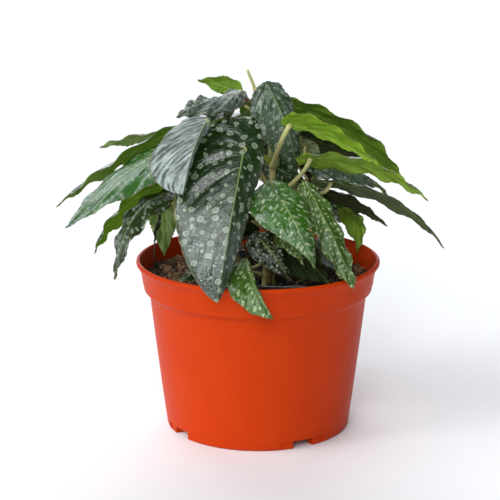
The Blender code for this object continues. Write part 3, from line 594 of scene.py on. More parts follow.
BLOCK = [(-1, -1, -1), (1, -1, -1), (1, 1, -1), (-1, 1, -1), (-1, -1, 1), (1, -1, 1), (1, 1, 1), (-1, 1, 1)]
BLOCK_FACES = [(0, 3, 2, 1), (4, 5, 6, 7), (0, 1, 5, 4), (1, 2, 6, 5), (2, 3, 7, 6), (3, 0, 4, 7)]


def strew(name, amount, spot, level, seed, sizes, flatness, material, sink=0.2):
    """Scatter small uneven blocks on a ground, as one mesh with a tint for each block."""
    draw = random.Random(seed)
    points, faces, tints = [], [], []
    for _ in range(amount):
        x, y = spot(draw)
        size = sizes[0] + (sizes[1] - sizes[0]) * draw.random() ** 2
        reach = np.array([size, size * draw.uniform(0.5, 0.9), size * flatness * draw.uniform(0.6, 1.2)]) / 2
        block = np.array([[c * draw.uniform(0.55, 1.1) for c in corner] for corner in BLOCK]) * reach
        a, b, c = draw.uniform(0, math.tau), draw.gauss(0, 0.45), draw.gauss(0, 0.45)
        spin = np.array([[math.cos(a), -math.sin(a), 0], [math.sin(a), math.cos(a), 0], [0, 0, 1]])
        lean = np.array([[1, 0, b], [0, 1, c], [-b, -c, 1]])
        place = np.array([x, y, ground_level(x, y, level, seed // 10) + reach[2] * (1 - 2 * sink)])
        start = len(points)
        points += [tuple(place + spin @ lean @ p) for p in block]
        faces += [tuple(start + i for i in face) for face in BLOCK_FACES]
        tints += [draw.random() ** 1.6] * 8
    piece = new_piece(name, points, faces, [], [material], smooth=False)
    set_values(piece, "tint", "FLOAT", tints)
    return piece


def sweep(route, radii, sides):
    """Points and faces of a tube along a route, closed at both ends."""
    route = np.asarray(route, float)
    tangents = np.gradient(route, axis=0)
    tangents /= np.linalg.norm(tangents, axis=1)[:, None]
    side = np.cross(tangents[0], (0.3, 0.5, 0.8))
    rings = []
    for point, tangent, radius in zip(route, tangents, radii):
        side = side - tangent * (side @ tangent)
        side /= np.linalg.norm(side)
        other = np.cross(tangent, side)
        rings.append([
            point + radius * (side * math.cos(math.tau * k / sides) + other * math.sin(math.tau * k / sides))
            for k in range(sides)])
    return skin(rings)


def strands(name, amount, spot, level, seed, lengths, radii, lift, material):
    """Scatter fine curved strands on a ground, as one mesh with a tint for each strand."""
    draw = random.Random(seed)
    points, faces, tints = [], [], []
    for _ in range(amount):
        x, y = spot(draw)
        length = draw.uniform(*lengths)
        heading = draw.uniform(0, math.tau)
        bend = draw.gauss(0, 1.6)
        rise = draw.random() ** 2 * lift
        route = []
        for i in range(6):
            t = i / 5
            z = ground_level(x, y, level, seed // 10) + 0.3 + rise * math.sin(math.pi * t) - 0.8 * (t < 0.1)
            route.append((x, y, z))
            x += length / 5 * math.cos(heading + bend * t)
            y += length / 5 * math.sin(heading + bend * t)
        if math.hypot(x, y) > 74:
            continue
        radius = draw.uniform(*radii)
        new_points, new_faces = sweep(route, [radius, radius, radius, radius, radius * 0.8, radius * 0.4], 3)
        start = len(points)
        points += [tuple(p) for p in new_points]
        faces += [tuple(start + i for i in face) for face in new_faces]
        tints += [draw.random()] * len(new_points)
    piece = new_piece(name, points, faces, [], [material])
    set_values(piece, "tint", "FLOAT", tints)
    return piece


chips = strew("coir_chips", 1500, coir_spot, COIR_LEVEL, 110, (1.2, 5.5), 0.5, husk)
hairs = strands("coir_hairs", 900, coir_spot, COIR_LEVEL, 111, (4, 15), (0.10, 0.24), 3.0, hair)
crumbs = strew("soil_crumbs", 1300, soil_spot, SOIL_LEVEL, 160, (0.8, 3.6), 0.75, crumb)
roots = strands("fine_roots", 160, soil_spot, SOIL_LEVEL, 161, (8, 26), (0.14, 0.34), 5.0, root)
for strewn in (chips, hairs, crumbs, roots):
    print(strewn.name, count(strewn), "triangles")

# %% [markdown]
# ## Canes and leaf stalks
#
# A begonia's cane is jointed like bamboo: smooth green-brown internodes, swollen rings where leaves grew,
# and papery stipules that stay at each joint. The stalks are paler, with a faint red flush. Each is a tube
# swept along a smooth route, thicker at its root, and the routes are the frame's own.

# %% Cane and stipule materials
def make_cane_skin():
    material, shader = start_material("begonia cane skin", "8E8A4A", 0.42, 1.45)
    shader.inputs["Subsurface Weight"].default_value = 0.15
    shader.inputs["Subsurface Radius"].default_value = (0.8, 1.0, 0.3)
    shader.inputs["Subsurface Scale"].default_value = 0.8 * MM
    stem = add(material, "Attribute", attribute_name="stem").outputs["Vector"]
    parts = add(material, "SeparateXYZ", {0: stem})
    place = add(material, "TexCoord").outputs["Object"]
    streak_place = add(material, "Mapping", {"Vector": place, "Scale": (1, 1, 0.25)})
    streak = add(material, "TexNoise", {"Vector": streak_place.outputs[0], "Scale": 1 / (1.2 * MM), "Detail": 5.0})
    young = add(material, "Mix", {0: streak.outputs["Fac"], 6: linear("949E50"), 7: linear("CBC08C")}, data_type="RGBA")
    old = add(material, "Mix", {0: streak.outputs["Fac"], 6: linear("5E4A2C"), 7: linear("9A8454")}, data_type="RGBA")
    aged = add(material, "Mix", {0: parts.outputs["X"], 6: young.outputs[2], 7: old.outputs[2]}, data_type="RGBA")
    ring = add(material, "Mix", {0: parts.outputs["Y"], 6: aged.outputs[2], 7: linear("6A4A30")}, data_type="RGBA")
    feed(material, ring.outputs[2], shader.inputs["Base Color"])
    bump = add(material, "Bump", {"Height": streak.outputs["Fac"], "Strength": 0.35, "Distance": 0.15 * MM})
    feed(material, bump.outputs[0], shader.inputs["Normal"])
    return material


def make_papery():
    material, shader = start_material("papery stipule", "A8A860", 0.55, 1.42)
    tint = add(material, "Attribute", attribute_name="tint").outputs["Color"]
    place = add(material, "TexCoord").outputs["Object"]
    vein = add(material, "TexNoise", {"Vector": place, "Scale": 1 / (0.9 * MM), "Detail": 4.0})
    shade = add(material, "MapRange", {"Value": vein.outputs["Fac"], "To Min": 0.7, "To Max": 1.15})
    colour = add(
        material, "Mix", {0: 1.0, 6: tint, 7: shade.outputs[0]}, data_type="RGBA", blend_type="MULTIPLY")
    feed(material, colour.outputs[2], shader.inputs["Base Color"])
    glow = add(material, "BsdfTranslucent", {"Color": colour.outputs[2]})
    both = add(material, "MixShader", {0: 0.4, 1: shader.outputs[0], 2: glow.outputs[0]})
    feed(material, both.outputs[0], material.node_tree.nodes["Material Output"].inputs["Surface"])
    return material


cane_skin = make_cane_skin()
papery = make_papery()

# %% Routes
ROOT_Z = 84.0

CANES = {
    "cane_main": dict(
        route=[
            (7, 0, ROOT_Z), (7, 0, 108), (9, 1, 140), (9, 1, 176), (5, 2, 200), (-2, 3, 222), (-7, 3, 235)],
        radii=(3.2, 1.0),
        stipules=[((8, 0, 173), (-3, -7, 187)), ((10, 0, 172), (10, -3, 189)), ((9, 1, 150), (2, -9, 158)),
                  ((3, 3, 208), (10, -2, 217))]),
    "cane_right": dict(
        route=[(30, 8, ROOT_Z), (30, 8, 104), (29, 7, 125), (31, 5, 148), (33, 4, 166)],
        radii=(2.8, 1.9),
        stipules=[((31, 5, 146), (37, -2, 155)), ((33, 4, 164), (30, 8, 175))]),
    "cane_left": dict(
        route=[
            (-10, 8, ROOT_Z), (-10, 8, 98), (-13, 8, 108), (-23, 6, 126), (-36, 2, 150), (-42, 0, 176),
            (-40, 2, 196)],
        radii=(2.8, 1.8),
        stipules=[((-41, 1, 168), (-50, -4, 176)), ((-40, 2, 194), (-36, 8, 203))]),
    "cane_back": dict(
        route=[(8, 26, ROOT_Z), (8, 26, 104), (9, 30, 140), (7, 33, 175), (6, 32, 200)],
        radii=(2.8, 1.8),
        stipules=[((7, 32, 188), (14, 38, 196)), ((6, 32, 198), (2, 27, 208))]),
    "shoot_front": dict(
        route=[(4, -22, ROOT_Z), (4, -22, 100), (5, -24, 114), (6, -24, 124)],
        radii=(2.2, 1.4),
        stipules=[((6, -24, 122), (3, -20, 129))]),
}


def smooth_route(points, spacing):
    """A smooth curve through given points, as an array about one spacing apart."""
    points = np.array(points, float)
    ends = np.vstack([2 * points[0] - points[1], points, 2 * points[-1] - points[-2]])
    route = [points[0]]
    for a, b, c, d in zip(ends, ends[1:], ends[2:], ends[3:]):
        steps = max(1, round(float(np.linalg.norm(c - b)) / spacing))
        for i in range(1, steps + 1):
            t = i / steps
            route.append(0.5 * (
                2 * b + (c - a) * t + (2 * a - 5 * b + 4 * c - d) * t ** 2
                + (3 * b - a - 3 * c + d) * t ** 3))
    return np.array(route)


def bezier(a, b, c, d, steps):
    """Points along a cubic Bezier curve."""
    t = np.linspace(0, 1, steps + 1)[:, None]
    return a * (1 - t) ** 3 + 3 * b * t * (1 - t) ** 2 + 3 * c * t ** 2 * (1 - t) + d * t ** 3


# %% [markdown]
# ## Leaf blades
#
# An angel-wing leaf is lopsided: it is hung from a point near one side of its base, one lobe is bigger,
# and it tapers to a long tip. A grid of rows fans out from the stalk's joint to the edge, so that the
# rows run as the veins do. The grid is bent along an arched midrib, folded, rippled and puffed up between
# its veins, and its edge gets small teeth. It follows the frame's own formula, with many more points.

# %% Leaf table
def leaf(cane, start, joint, tip, face, **more):
    """One blade: the cane it grows on, where its stalk starts, its joint and tip, and where it faces.

    left and right are the half widths and lobe the reach behind the joint, as shares of the length.
    """
    shape = dict(
        cane=cane, start=start, joint=joint, tip=tip, face=face, tip_face=face, bow=0.10, sway=0.0,
        left=0.30, right=0.30, lobe=0.22, cleft=9, taper=(1.2, 1.2), fold=(8, 8), curl=(14, 14),
        wave=1.2, waves=12, stalk=1.2, leave=(0, 0, 1), arrive=None,
        veins=8, puff=0.9, rumple=1.0, overlap=0.6, teeth=0.8, tooth_count=24, fine=(104, 14),
        crinkle=(1, 0.3, 0.8, 0.12), scars=())
    shape.update(more)
    return shape


LEAVES = {
    "leaf_front": leaf(
        "cane_main", (9, 1, 150), (-9, -46, 193), (-25, -92, 108), (0, -0.8, 0.6),
        left=0.16, right=0.39, lobe=0.26, taper=(0.5, 0.4), fold=(44, 4), curl=(18, 10), wave=0.5,
        bow=0.06, cleft=5, stalk=1.6, waves=14, leave=(0, -1, 1)),
    "leaf_crown_left": leaf(
        "cane_main", (1, 3, 213), (-11, -7, 223), (-48, -52, 217), (0.1, -0.5, 0.9),
        left=0.20, right=0.22, lobe=0.06, fold=(14, 50), bow=0.03, leave=(-0.6, -0.7, 0.6)),
    "leaf_crown_right": leaf(
        "cane_main", (-2, 3, 222), (6, -2, 225), (25, 2, 165), (0.3, -0.8, 0.6),
        left=0.22, right=0.30, lobe=0.06, fold=(14, 12), bow=0.12, leave=(0.3, -0.8, 0.6)),
    "leaf_crown_back": leaf(
        "cane_back", (6, 32, 198), (-13, 34, 214.5), (-40, 46, 221.5), (0, 1, 0.3),
        left=0.32, right=0.22, lobe=0.25, waves=8, stalk=0.9,
        leave=(-0.6, -0.8, 0.5)),
    "leaf_crown_dark": leaf(
        "cane_main", (7, 1.5, 190), (-21, 12, 211), (-52, -12, 207), (0.1, -0.5, 0.9),
        left=0.32, right=0.32, lobe=0.10, waves=10, wave=2.0, leave=(-1, 0.5, 0.3)),
    "leaf_left_silver": leaf(
        "cane_left", (-40, 2, 192), (-32, -50, 212), (-46, -75, 171), (-0.3, -0.8, 0.5),
        left=0.08, right=0.62, lobe=0.08, taper=(0.7, -0.3), fold=(80, 10), bow=0.10, wave=0.6,
        leave=(-0.6, -1, 1)),
    "leaf_left_far": leaf(
        "cane_left", (-40, 1, 184), (-50, 8, 197), (-124.4, -60, 160), (-0.2, 0.7, 0.7),
        left=0.10, right=0.09, lobe=0.12, bow=0.04, wave=1.5),
    "leaf_left_near": leaf(
        "cane_left", (-41, 0, 180), (-54.4, -18, 190), (-116.4, -86, 153), (-0.4, -0.5, 0.8),
        left=0.22, right=0.18, lobe=0.12, bow=0.05, wave=1.0),
    "leaf_left_back": leaf(
        "cane_left", (-41, 1, 178), (-64, 34, 186), (-106, 46, 176), (0, 0.6, 0.8),
        left=0.2, right=0.2, waves=8, stalk=1.0, bow=0.05),
    "leaf_left_low": leaf(
        "cane_left", (-38, 1, 156), (-61, -14, 164), (-103, -44, 126), (-0.3, 0.6, 0.7),
        left=0.24, right=0.22, lobe=0.14, bow=0.13, wave=1.8, arrive=(-0.9, -0.3, 0.3)),
    "leaf_left_arched": leaf(
        "cane_left", (-37, 2, 152), (-54, -30, 163), (-88, -80, 119), (-0.5, -0.6, 0.6),
        left=0.17, right=0.17, lobe=0.12, bow=0.20, wave=2.0),
    "leaf_left_hanging": leaf(
        "cane_left", (-34, 3, 146), (-62, 2, 147), (-61, -6, 115), (0, 0.9, 0.3),
        left=0.3, right=0.3, waves=8, stalk=1.0, leave=(-0.7, 0, 0.7)),
    "leaf_left_twisted": leaf(
        "cane_left", (-30, 4, 139), (-55, -16, 156), (-66, -30, 130), (-0.9, 0.3, 0.3),
        left=0.12, right=0.12, waves=8, stalk=0.9),
    "leaf_low_left": leaf(
        "shoot_front", (4, -23, 106), (-33, -42, 116), (-50, -54, 109), (-0.1, -0.3, 0.9),
        left=0.4, right=0.4, waves=8, stalk=0.9, leave=(-1, -0.3, 0.6),
        arrive=(-1, -0.4, 0.3)),
    "leaf_over_rim": leaf(
        "shoot_front", (5, -24, 112), (-7, -66, 126), (8.5, -94, 98.5), (0, -0.7, 0.7),
        left=0.05, right=0.38, lobe=0.12, taper=(1.0, 0.6), bow=0.10, fold=(35, 10), stalk=0.9, waves=10, leave=(0, -0.7, 0.7), sway=0.06),
    "leaf_front_right": leaf(
        "cane_main", (9, 1, 144), (15, -56, 162), (34, -82, 127), (0.1, -0.8, 0.6),
        left=0.27, right=0.44, lobe=0.44, taper=(0.8, 2.0), fold=(12, 6), bow=0.08, wave=0.6,
        leave=(0, -1, 0.7)),
    "leaf_right_long": leaf(
        "cane_right", (29, 7, 140), (29, -36, 170), (59, -64, 109), (0.5, -0.8, 0.4),
        left=0.14, right=0.14, lobe=0.02, bow=0.04, wave=2.0, leave=(0, -0.7, 0.7), taper=(0.4, 0.4)),
    "leaf_right_shaded": leaf(
        "cane_right", (29, 7, 122), (36, -12, 124), (57, -44, 111), (-0.3, -0.6, 0.7),
        left=0.2, right=0.2, waves=8, stalk=1.0),
    "leaf_low_right": leaf(
        "shoot_front", (5, -24, 118), (15, -14, 129), (45, -38, 105), (0.3, 0.9, 0.3),
        left=0.42, right=0.46, waves=10, stalk=1.0, fold=(4, 4), bow=0.04, leave=(0, -0.2, 1)),
    "leaf_low_dark": leaf(
        "shoot_front", (6, -24, 122), (1, -34, 133), (20, -46, 109), (0, -0.7, 0.7),
        left=0.22, right=0.34, waves=8, stalk=0.9),
    "leaf_low_lime": leaf(
        "shoot_front", (6, -24, 124), (15, -40, 136), (28, -56, 122), (0.3, -0.7, 0.7),
        left=0.24, right=0.24, waves=8, stalk=0.8, leave=(1, -0.4, 0.8)),
    "leaf_right_high": leaf(
        "cane_back", (7, 33, 185), (22, 32, 207), (95, 30, 159), (0.2, 0.7, 0.7),
        left=0.21, right=0.2, lobe=0.12, taper=(0.4, 0.3), bow=0.085, wave=1.8),
    "leaf_right_upper": leaf(
        "cane_main", (9, 1, 172), (20, -30, 206), (76, -46, 182), (0.1, 0.75, 0.65),
        left=0.05, right=0.32, lobe=0.10, bow=0.06, wave=1.2, stalk=1.5, leave=(0.2, -0.9, 0.8)),
    "leaf_right_grey": leaf(
        "cane_back", (7.7, 32.2, 169), (28, 24, 188), (74, 37, 165), (0.1, 0.7, 0.7),
        left=0.3, right=0.3, bow=0.06, wave=1.0, waves=10),
    "leaf_right_bright": leaf(
        "cane_main", (9, 1, 149), (33, -22, 183), (106, -44, 160), (0.1, 0.6, 0.8),
        left=0.16, right=0.16, lobe=0.12, bow=0.12, wave=1.4, stalk=1.4, leave=(0.5, -0.5, 0.75),
        arrive=(0.28, 0.0, 0.95)),
    "leaf_right_thread": leaf(
        "cane_right", (31, 5, 150), (46, -22, 168), (124.2, 28, 111), (0.2, 0.38, 0.9),
        left=0.15, right=0.12, lobe=0.12, taper=(2.0, 2.0), bow=0.10, wave=0.8, leave=(0.4, -0.5, 1)),
    "leaf_right_inner": leaf(
        "cane_right", (33, 4, 164), (38, 2, 174), (76, 8, 157), (0.1, -0.6, 0.8),
        left=0.3, right=0.24, waves=10),
    "leaf_right_olive": leaf(
        "cane_right", (31, 6, 142), (38, 24, 151), (86, 24, 127), (0.1, 0.6, 0.8),
        left=0.22, right=0.22, lobe=0.16, bow=0.10, wave=0.8, stalk=1.1, leave=(0.2, 0.4, 1)),
    "leaf_right_curled": leaf(
        "cane_right", (30, 6, 130), (49, 9, 146), (67, 28, 108), (0.6, 0.6, 0.5),
        left=0.36, right=0.32, bow=0.22, waves=10, stalk=1.0, leave=(1, -0.2, 0.3), lobe=0.10),
    "leaf_right_dark": leaf(
        "cane_right", (31, 5, 144), (38, -14, 154), (52, -28, 142), (0.3, -0.5, 0.8),
        left=0.4, right=0.4, waves=8, stalk=0.9),
    "leaf_heart_pale": leaf(
        "cane_right", (32.5, 4.5, 160), (31, 17, 182), (37.5, 14.5, 154), (0.1, 0.95, 0.1),
        left=0.34, right=0.30, waves=8, stalk=0.9, leave=(-0.5, 0.4, 0.9)),
    "leaf_heart_back": leaf(
        "cane_back", (9, 30.5, 146), (0, 21.5, 172.5), (33, 19.5, 157), (0.1, -0.9, 0.35),
        left=0.25, right=0.25, waves=8, stalk=0.9, bow=0.04),
    "leaf_heart_dark": leaf(
        "cane_main", (8, 0.5, 124), (-4, -8, 139), (-18, -14, 124), (0, 0.8, 0.5),
        left=0.45, right=0.45, waves=8, stalk=0.9),
    "leaf_heart_high": leaf(
        "cane_back", (7, 32.5, 180), (4, 16, 178), (-2, 8, 200), (0, -0.9, 0.3),
        left=0.4, right=0.4, waves=8, stalk=0.9),
    "leaf_back_high": leaf(
        "cane_back", (6, 32, 199), (4, 48, 208), (10, 96.5, 166), (0, 0.6, 0.8),
        left=0.28, right=0.26, bow=0.12),
    "leaf_back_left": leaf(
        "cane_back", (7, 33, 184), (-20, 50, 198), (-68, 88, 160), (-0.4, 0.5, 0.8),
        left=0.26, right=0.28, bow=0.12),
    "leaf_back_right": leaf(
        "cane_back", (7, 32, 172), (29, 63, 178), (66, 95, 141), (0.4, 0.6, 0.7),
        left=0.26, right=0.26, bow=0.12),
    "leaf_back_low_left": leaf(
        "cane_left", (-39, 1, 164), (-50, 30, 168), (-88, 66, 130), (-0.4, 0.5, 0.8),
        left=0.24, right=0.26, bow=0.12),
    "leaf_back_low": leaf(
        "cane_back", (8, 31, 150), (-12, 54, 166), (-36, 95, 118), (-0.2, 0.8, 0.6),
        left=0.30, right=0.28, bow=0.14),
    "leaf_back_low_right": leaf(
        "cane_back", (9, 30, 142), (28, 54, 152), (46, 94, 108), (0.3, 0.8, 0.6),
        left=0.28, right=0.28, bow=0.16),
    "leaf_side_right": leaf(
        "cane_right", (32, 5, 156), (48, 20, 166), (88, 52, 142), (0.4, 0.2, 0.9),
        left=0.24, right=0.24, bow=0.10, waves=10, leave=(1, 0.2, 0.2), lobe=0.08),
    "leaf_side_low_right": leaf(
        "cane_right", (30, 7, 126), (38, 40, 142), (66, 76, 116), (0.5, 0.4, 0.8),
        left=0.26, right=0.26, bow=0.14, waves=10, leave=(0, 1, 0.3)),
    "leaf_side_low_left": leaf(
        "cane_left", (-33, 3, 144), (-40, 36, 148), (-60, 80, 114), (-0.4, 0.6, 0.7),
        left=0.28, right=0.28, bow=0.16, waves=10),
}

# %% Leaf looks
PLAIN_LOOK = dict(
    upper="22401A", under="7A9E30", silver=(0.0, 0.0), lime=0.0, glow=1.3, spot=5.6, stretch=1.2, spotted=1.0)
# Under tints and glow levels are partly each leaf's own colour and partly painted light and shade: paler and higher
# where a blade is lit through, darker and lower where it lies in shade.
LOOKS = {
    "leaf_front": dict(
        upper="16300C", spot=7.4, stretch=1.1, overlap=2.2, silver=(0, 0.12), glow=0.6, puff=1.2,
        crinkle=(-1, 0.34, 0.75, 0.34)),
    "leaf_crown_left": dict(
        upper="1E3416", silver=(0.2, 0.45), spot=4.6, spotted=0.9, veins=10, puff=1.3,
        scars=[(-8, 2, 2.6, "4A1414"), (-10, 6, 1.6, "5A1C18"), (-6, -1, 1.5, "3E1210")]),
    "leaf_crown_right": dict(upper="1E3E12", spot=5.0, silver=(0.25, 0.05), crinkle=(-1, 0.05, 0.5, 0.25)),
    "leaf_crown_back": dict(under="8CB42C"),
    "leaf_crown_dark": dict(upper="1C3212", silver=(0.1, 0.3), spot=5.0, crinkle=(1, 0.1, 0.9, 0.3)),
    "leaf_left_silver": dict(upper="1E3020", silver=(0.5, 0.8), spotted=0.15, spot=5.0, veins=11, puff=1.5),
    "leaf_left_far": dict(under="92AC50", glow=1.6),
    "leaf_left_near": dict(upper="2E6216", silver=(0.0, 0.45), spot=5.0, stretch=1.4),
    "leaf_left_back": dict(under="9CB466"),
    "leaf_left_low": dict(under="8CB42C", glow=1.6),
    "leaf_left_arched": dict(upper="2A3A1A", under="4A3F2E", spot=4.4, stretch=1.4),
    "leaf_left_hanging": dict(under="A8BE78", glow=1.6),
    "leaf_left_twisted": dict(upper="2A3020", under="3A3828", spotted=0.3, glow=0.4),
    "leaf_low_left": dict(upper="1A3014", spot=4.0),
    "leaf_over_rim": dict(upper="3A5E14", lime=0.6, spot=3.6, stretch=1.5),
    "leaf_front_right": dict(
        upper="2F5E0C", lime=0.3, spot=4.0, stretch=1.8, scars=[(-8, 24, 1.9, "B89A6C")]),
    "leaf_right_long": dict(upper="3A5C12", lime=0.8, spot=3.2, stretch=1.3),
    # This blade's grey-teal upper tint and strong sheen are painted reflection of the sky.
    "leaf_right_shaded": dict(upper="4A6258", silver=(0.7, 0.9), spot=5.0, spotted=0.4),
    "leaf_low_right": dict(upper="22361A", under="2C4A1C", glow=0.5),
    "leaf_low_dark": dict(upper="14240C", spot=2.9, lime=0.3),
    "leaf_low_lime": dict(upper="4A6C22", lime=1.0, spot=3.0),
    "leaf_right_high": dict(under="84A82C"),
    "leaf_right_upper": dict(under="9CC032", glow=1.7),
    "leaf_right_grey": dict(under="56603E", glow=0.5),
    "leaf_right_bright": dict(under="A2BE48", glow=1.7, scars=[(1.5, 47, 2.2, "5A2216")]),
    "leaf_right_thread": dict(under="748858", glow=1.0),
    "leaf_right_inner": dict(upper="264A20", silver=(0.1, 0.3), spot=4.4),
    "leaf_right_olive": dict(under="5E6240", glow=0.6),
    "leaf_right_curled": dict(under="B0CC5C", glow=1.9),
    "leaf_right_dark": dict(upper="14240E"),
    "leaf_heart_pale": dict(under="AEB888", glow=1.6),
    "leaf_heart_back": dict(upper="1E3A12", spot=4.0, glow=0.8),
    "leaf_heart_dark": dict(under="3E5226", glow=0.5),
    "leaf_heart_high": dict(under="4A3A30", glow=0.5),
}
for leaf_name, leaf_shape in LEAVES.items():
    leaf_shape.update(PLAIN_LOOK)
    leaf_shape.update(LOOKS.get(leaf_name, {}))

# %% Leaf surface
SINUS = 0.03
TIP_HALF_WIDTH = 0.5
CANE_TOP_GAP = 0.1
SINUS_CLOSED = 0.3
VEIN_SLOPE = 0.22
VEIN_SPREAD = 1.9


def unit(vector):
    """The vector at length one, or an array of them."""
    return vector / np.linalg.norm(vector, axis=-1, keepdims=True)


def frame_of(shape):
    """Joint, tip, the middle control point of the midrib's arch, set off along upward and sideways directions, and the
    length.
    """
    joint, tip, face = (np.array(shape[k], float) for k in ("joint", "tip", "face"))
    line = tip - joint
    length = np.linalg.norm(line)
    up = unit(face - line * (face @ line) / length ** 2)
    aside = np.cross(line / length, up)
    middle = (joint + tip) / 2 + length * (shape["bow"] * 2 * up + shape["sway"] * 2 * aside)
    return joint, tip, middle, length


def midrib(shape, share):
    """Points and directions on the midrib, for an array of length shares."""
    joint, tip, middle, length = frame_of(shape)
    s = share[..., None]
    start = unit(middle - joint)
    inside = joint * (1 - s) ** 2 + 2 * middle * s * (1 - s) + tip * s ** 2
    point = np.where(s < 0, joint + start * s * length, inside)
    forward = np.where(s < 0, start, (middle - joint) * (1 - s) + (tip - middle) * s)
    return point, unit(forward)


def outline(shape, turn, sides):
    """Reach along the midrib, half width and base of each row, for arrays of turns and sides."""
    half = np.where(sides > 0, shape["right"], shape["left"])
    taper = np.where(sides > 0, shape["taper"][1], shape["taper"][0])
    cleft = math.radians(shape["cleft"]) * SINUS_CLOSED
    angle = cleft + (math.pi - cleft) * turn
    reach = (1 - shape["lobe"]) / 2 - (1 + shape["lobe"]) / 2 * np.cos(angle)
    peak = 2 * np.arctan(1 / np.sqrt(taper + 1))
    crest = np.sin(peak) * np.cos(peak / 2) ** taper
    width = half * np.sin(angle) * np.maximum(np.cos(angle / 2), 0) ** taper / crest
    _, _, _, length = frame_of(shape)
    width = np.where(turn < 1, np.maximum(width, TIP_HALF_WIDTH / length), 0)
    return reach, width, -SINUS + (1 + SINUS) * turn ** VEIN_SPREAD


def ramp(value, low, high):
    """Smooth step from 0 at low to 1 at high."""
    t = np.clip((value - low) / (high - low), 0, 1)
    return t * t * (3 - 2 * t)


def blade(shape, rows, columns, seed):
    """The blade's middle surface as a grid, with what its material reads: flat place and fan place."""
    turn = np.linspace(0, 1, rows + 1)[:, None]
    steps = np.linspace(-1, 1, 2 * columns + 1)
    across = (np.sign(steps) * np.abs(steps) ** 1.25)[None, :]
    turn, across = np.broadcast_arrays(turn, across)
    sides = np.sign(across)
    reach, width, base = outline(shape, turn, sides)
    _, _, _, length = frame_of(shape)
    edge = np.abs(across)
    teeth = shape["teeth"] * np.abs(np.sin(math.pi * turn * shape["tooth_count"])) ** 0.7 - shape["teeth"] * 0.5
    along = base + (reach - base) * edge
    spread = edge * width * length + teeth * ramp(edge, 0.75, 1) * ramp(1 - turn, 0, 0.12) * ramp(turn, 0, 0.06)
    tucked = shape["overlap"] * (1 - ramp(turn, 0.0, 0.12)) * edge * (sides > 0)
    spread = spread - 2 * tucked
    point, forward = midrib(shape, along)
    share = np.clip(along, 0, 1)
    s = share[..., None]
    face = np.array(shape["face"], float) * (1 - s) + np.array(shape["tip_face"], float) * s
    up = unit(face - forward * np.sum(face * forward, axis=-1, keepdims=True))
    aside = np.cross(forward, up)
    fold = np.radians(np.where(sides > 0, shape["fold"][1], shape["fold"][0]))
    curl = np.radians(np.where(sides > 0, shape["curl"][1], shape["curl"][0]))
    lean = fold * (0.35 + 0.65 * np.minimum(1, share * 4)) + curl * edge * 0.5
    rise = shape["wave"] * edge ** 2 * np.cos(math.pi * shape["waves"] * turn)
    rise = rise * np.sin(math.pi * np.minimum(turn * 1.05, 1)) ** 0.5 - 0.9 * tucked
    vein = turn - VEIN_SLOPE * edge
    puff = np.abs(np.sin(math.pi * shape["veins"] * vein)) ** 0.8 - 0.6
    local = width * length * edge
    body = ramp(edge, 0.03, 0.35) * (1 - 0.5 * ramp(edge, 0.7, 1))
    rise = rise + shape["puff"] * puff * body * np.clip(local / 9, 0, 1)
    draw = random.Random(seed)
    for scale, size in ((2.3, 0.5), (4.6, 0.3), (9.1, 0.18)):
        a, b, c = draw.uniform(0, 6), draw.uniform(0, 6), draw.uniform(0, 6)
        drift = np.sin(scale * 3 * along + a) * np.cos(scale * 2.2 * across * width * 3 + b) + 0.5 * np.sin(scale * 5 * vein + c)
        rise = rise + size * shape["rumple"] * drift * ramp(edge, 0, 0.4) * ramp(1 - turn, 0, 0.15)
    crinkle_side, first, last, height = shape["crinkle"]
    patch = ramp(edge, 0.15, 0.5) * ramp(along, first - 0.1, first) * (1 - ramp(along, last, last + 0.1))
    x, y = spread, along * length
    fine = np.sin(1.5 * x + 0.7 * y + a) + np.sin(1.7 * y - 0.9 * x + b) + 0.6 * np.sin(2.2 * x + 1.9 * y + c)
    rise = rise + height * fine * patch * (sides == crinkle_side)
    grid = point + aside * (sides * spread * np.cos(lean))[..., None]
    grid = grid + up * (rise - spread * np.sin(lean))[..., None]
    flat = np.stack([sides * spread, along * length, np.full(turn.shape, seed * 3.7)], axis=-1)
    size = shape["spot"]
    slant = min(0.6, 1.2 * (shape["stretch"] - 1))
    spot = np.stack([
        sides * spread / (size * shape["stretch"]) + seed * 5.3,
        (along * length - slant * spread) / size + seed * 2.9, np.full(turn.shape, shape["spotted"])], axis=-1)
    fan = np.stack([vein * shape["veins"], across, along], axis=-1)
    return grid, flat, fan, spot


print("blade formula ready,", len(LEAVES), "leaves")

# %% [markdown]
# ## Leaf skin
#
# Seen from above, the blade is dark green under a waxy skin that mirrors the sky, with round grey-green
# spots that are a little lighter at their rims: there the skin has lifted from the green cells below.
# Seen from below, it is paler and matt, and glows yellow-green where light comes through. Two layers of
# round cells give large and small spots, the fan attribute gives the veins, and a tint stored on each
# leaf makes one lime. A silvery sheen, a reflection of the sky painted into the colour and growing towards
# the tip, makes others silvery. A translucent shader lets light through to the other face.

# %% Leaf materials
def spots(material, place, scale, small, large, softness):
    """Round spots, one in each cell of a loose pattern, as outputs for the whole spot and for its rim."""
    cell = add(
        material, "TexVoronoi", {"Vector": place, "Scale": scale, "Randomness": 0.72},
        voronoi_dimensions="2D")
    chance = add(material, "SeparateColor", {0: cell.outputs["Color"]})
    radius = add(material, "MapRange", {"Value": chance.outputs[0], "To Min": small, "To Max": large})
    inward = add(
        material, "Math", {0: radius.outputs[0], 1: cell.outputs["Distance"]}, operation="SUBTRACT")
    whole = add(material, "MapRange", {"Value": inward.outputs[0], "From Min": 0.0, "From Max": softness})
    core = add(
        material, "MapRange", {"Value": inward.outputs[0], "From Min": softness * 1.6, "From Max": softness * 4})
    rim = add(material, "Math", {0: whole.outputs[0], 1: core.outputs[0]}, operation="SUBTRACT", use_clamp=True)
    return whole.outputs[0], rim.outputs[0]


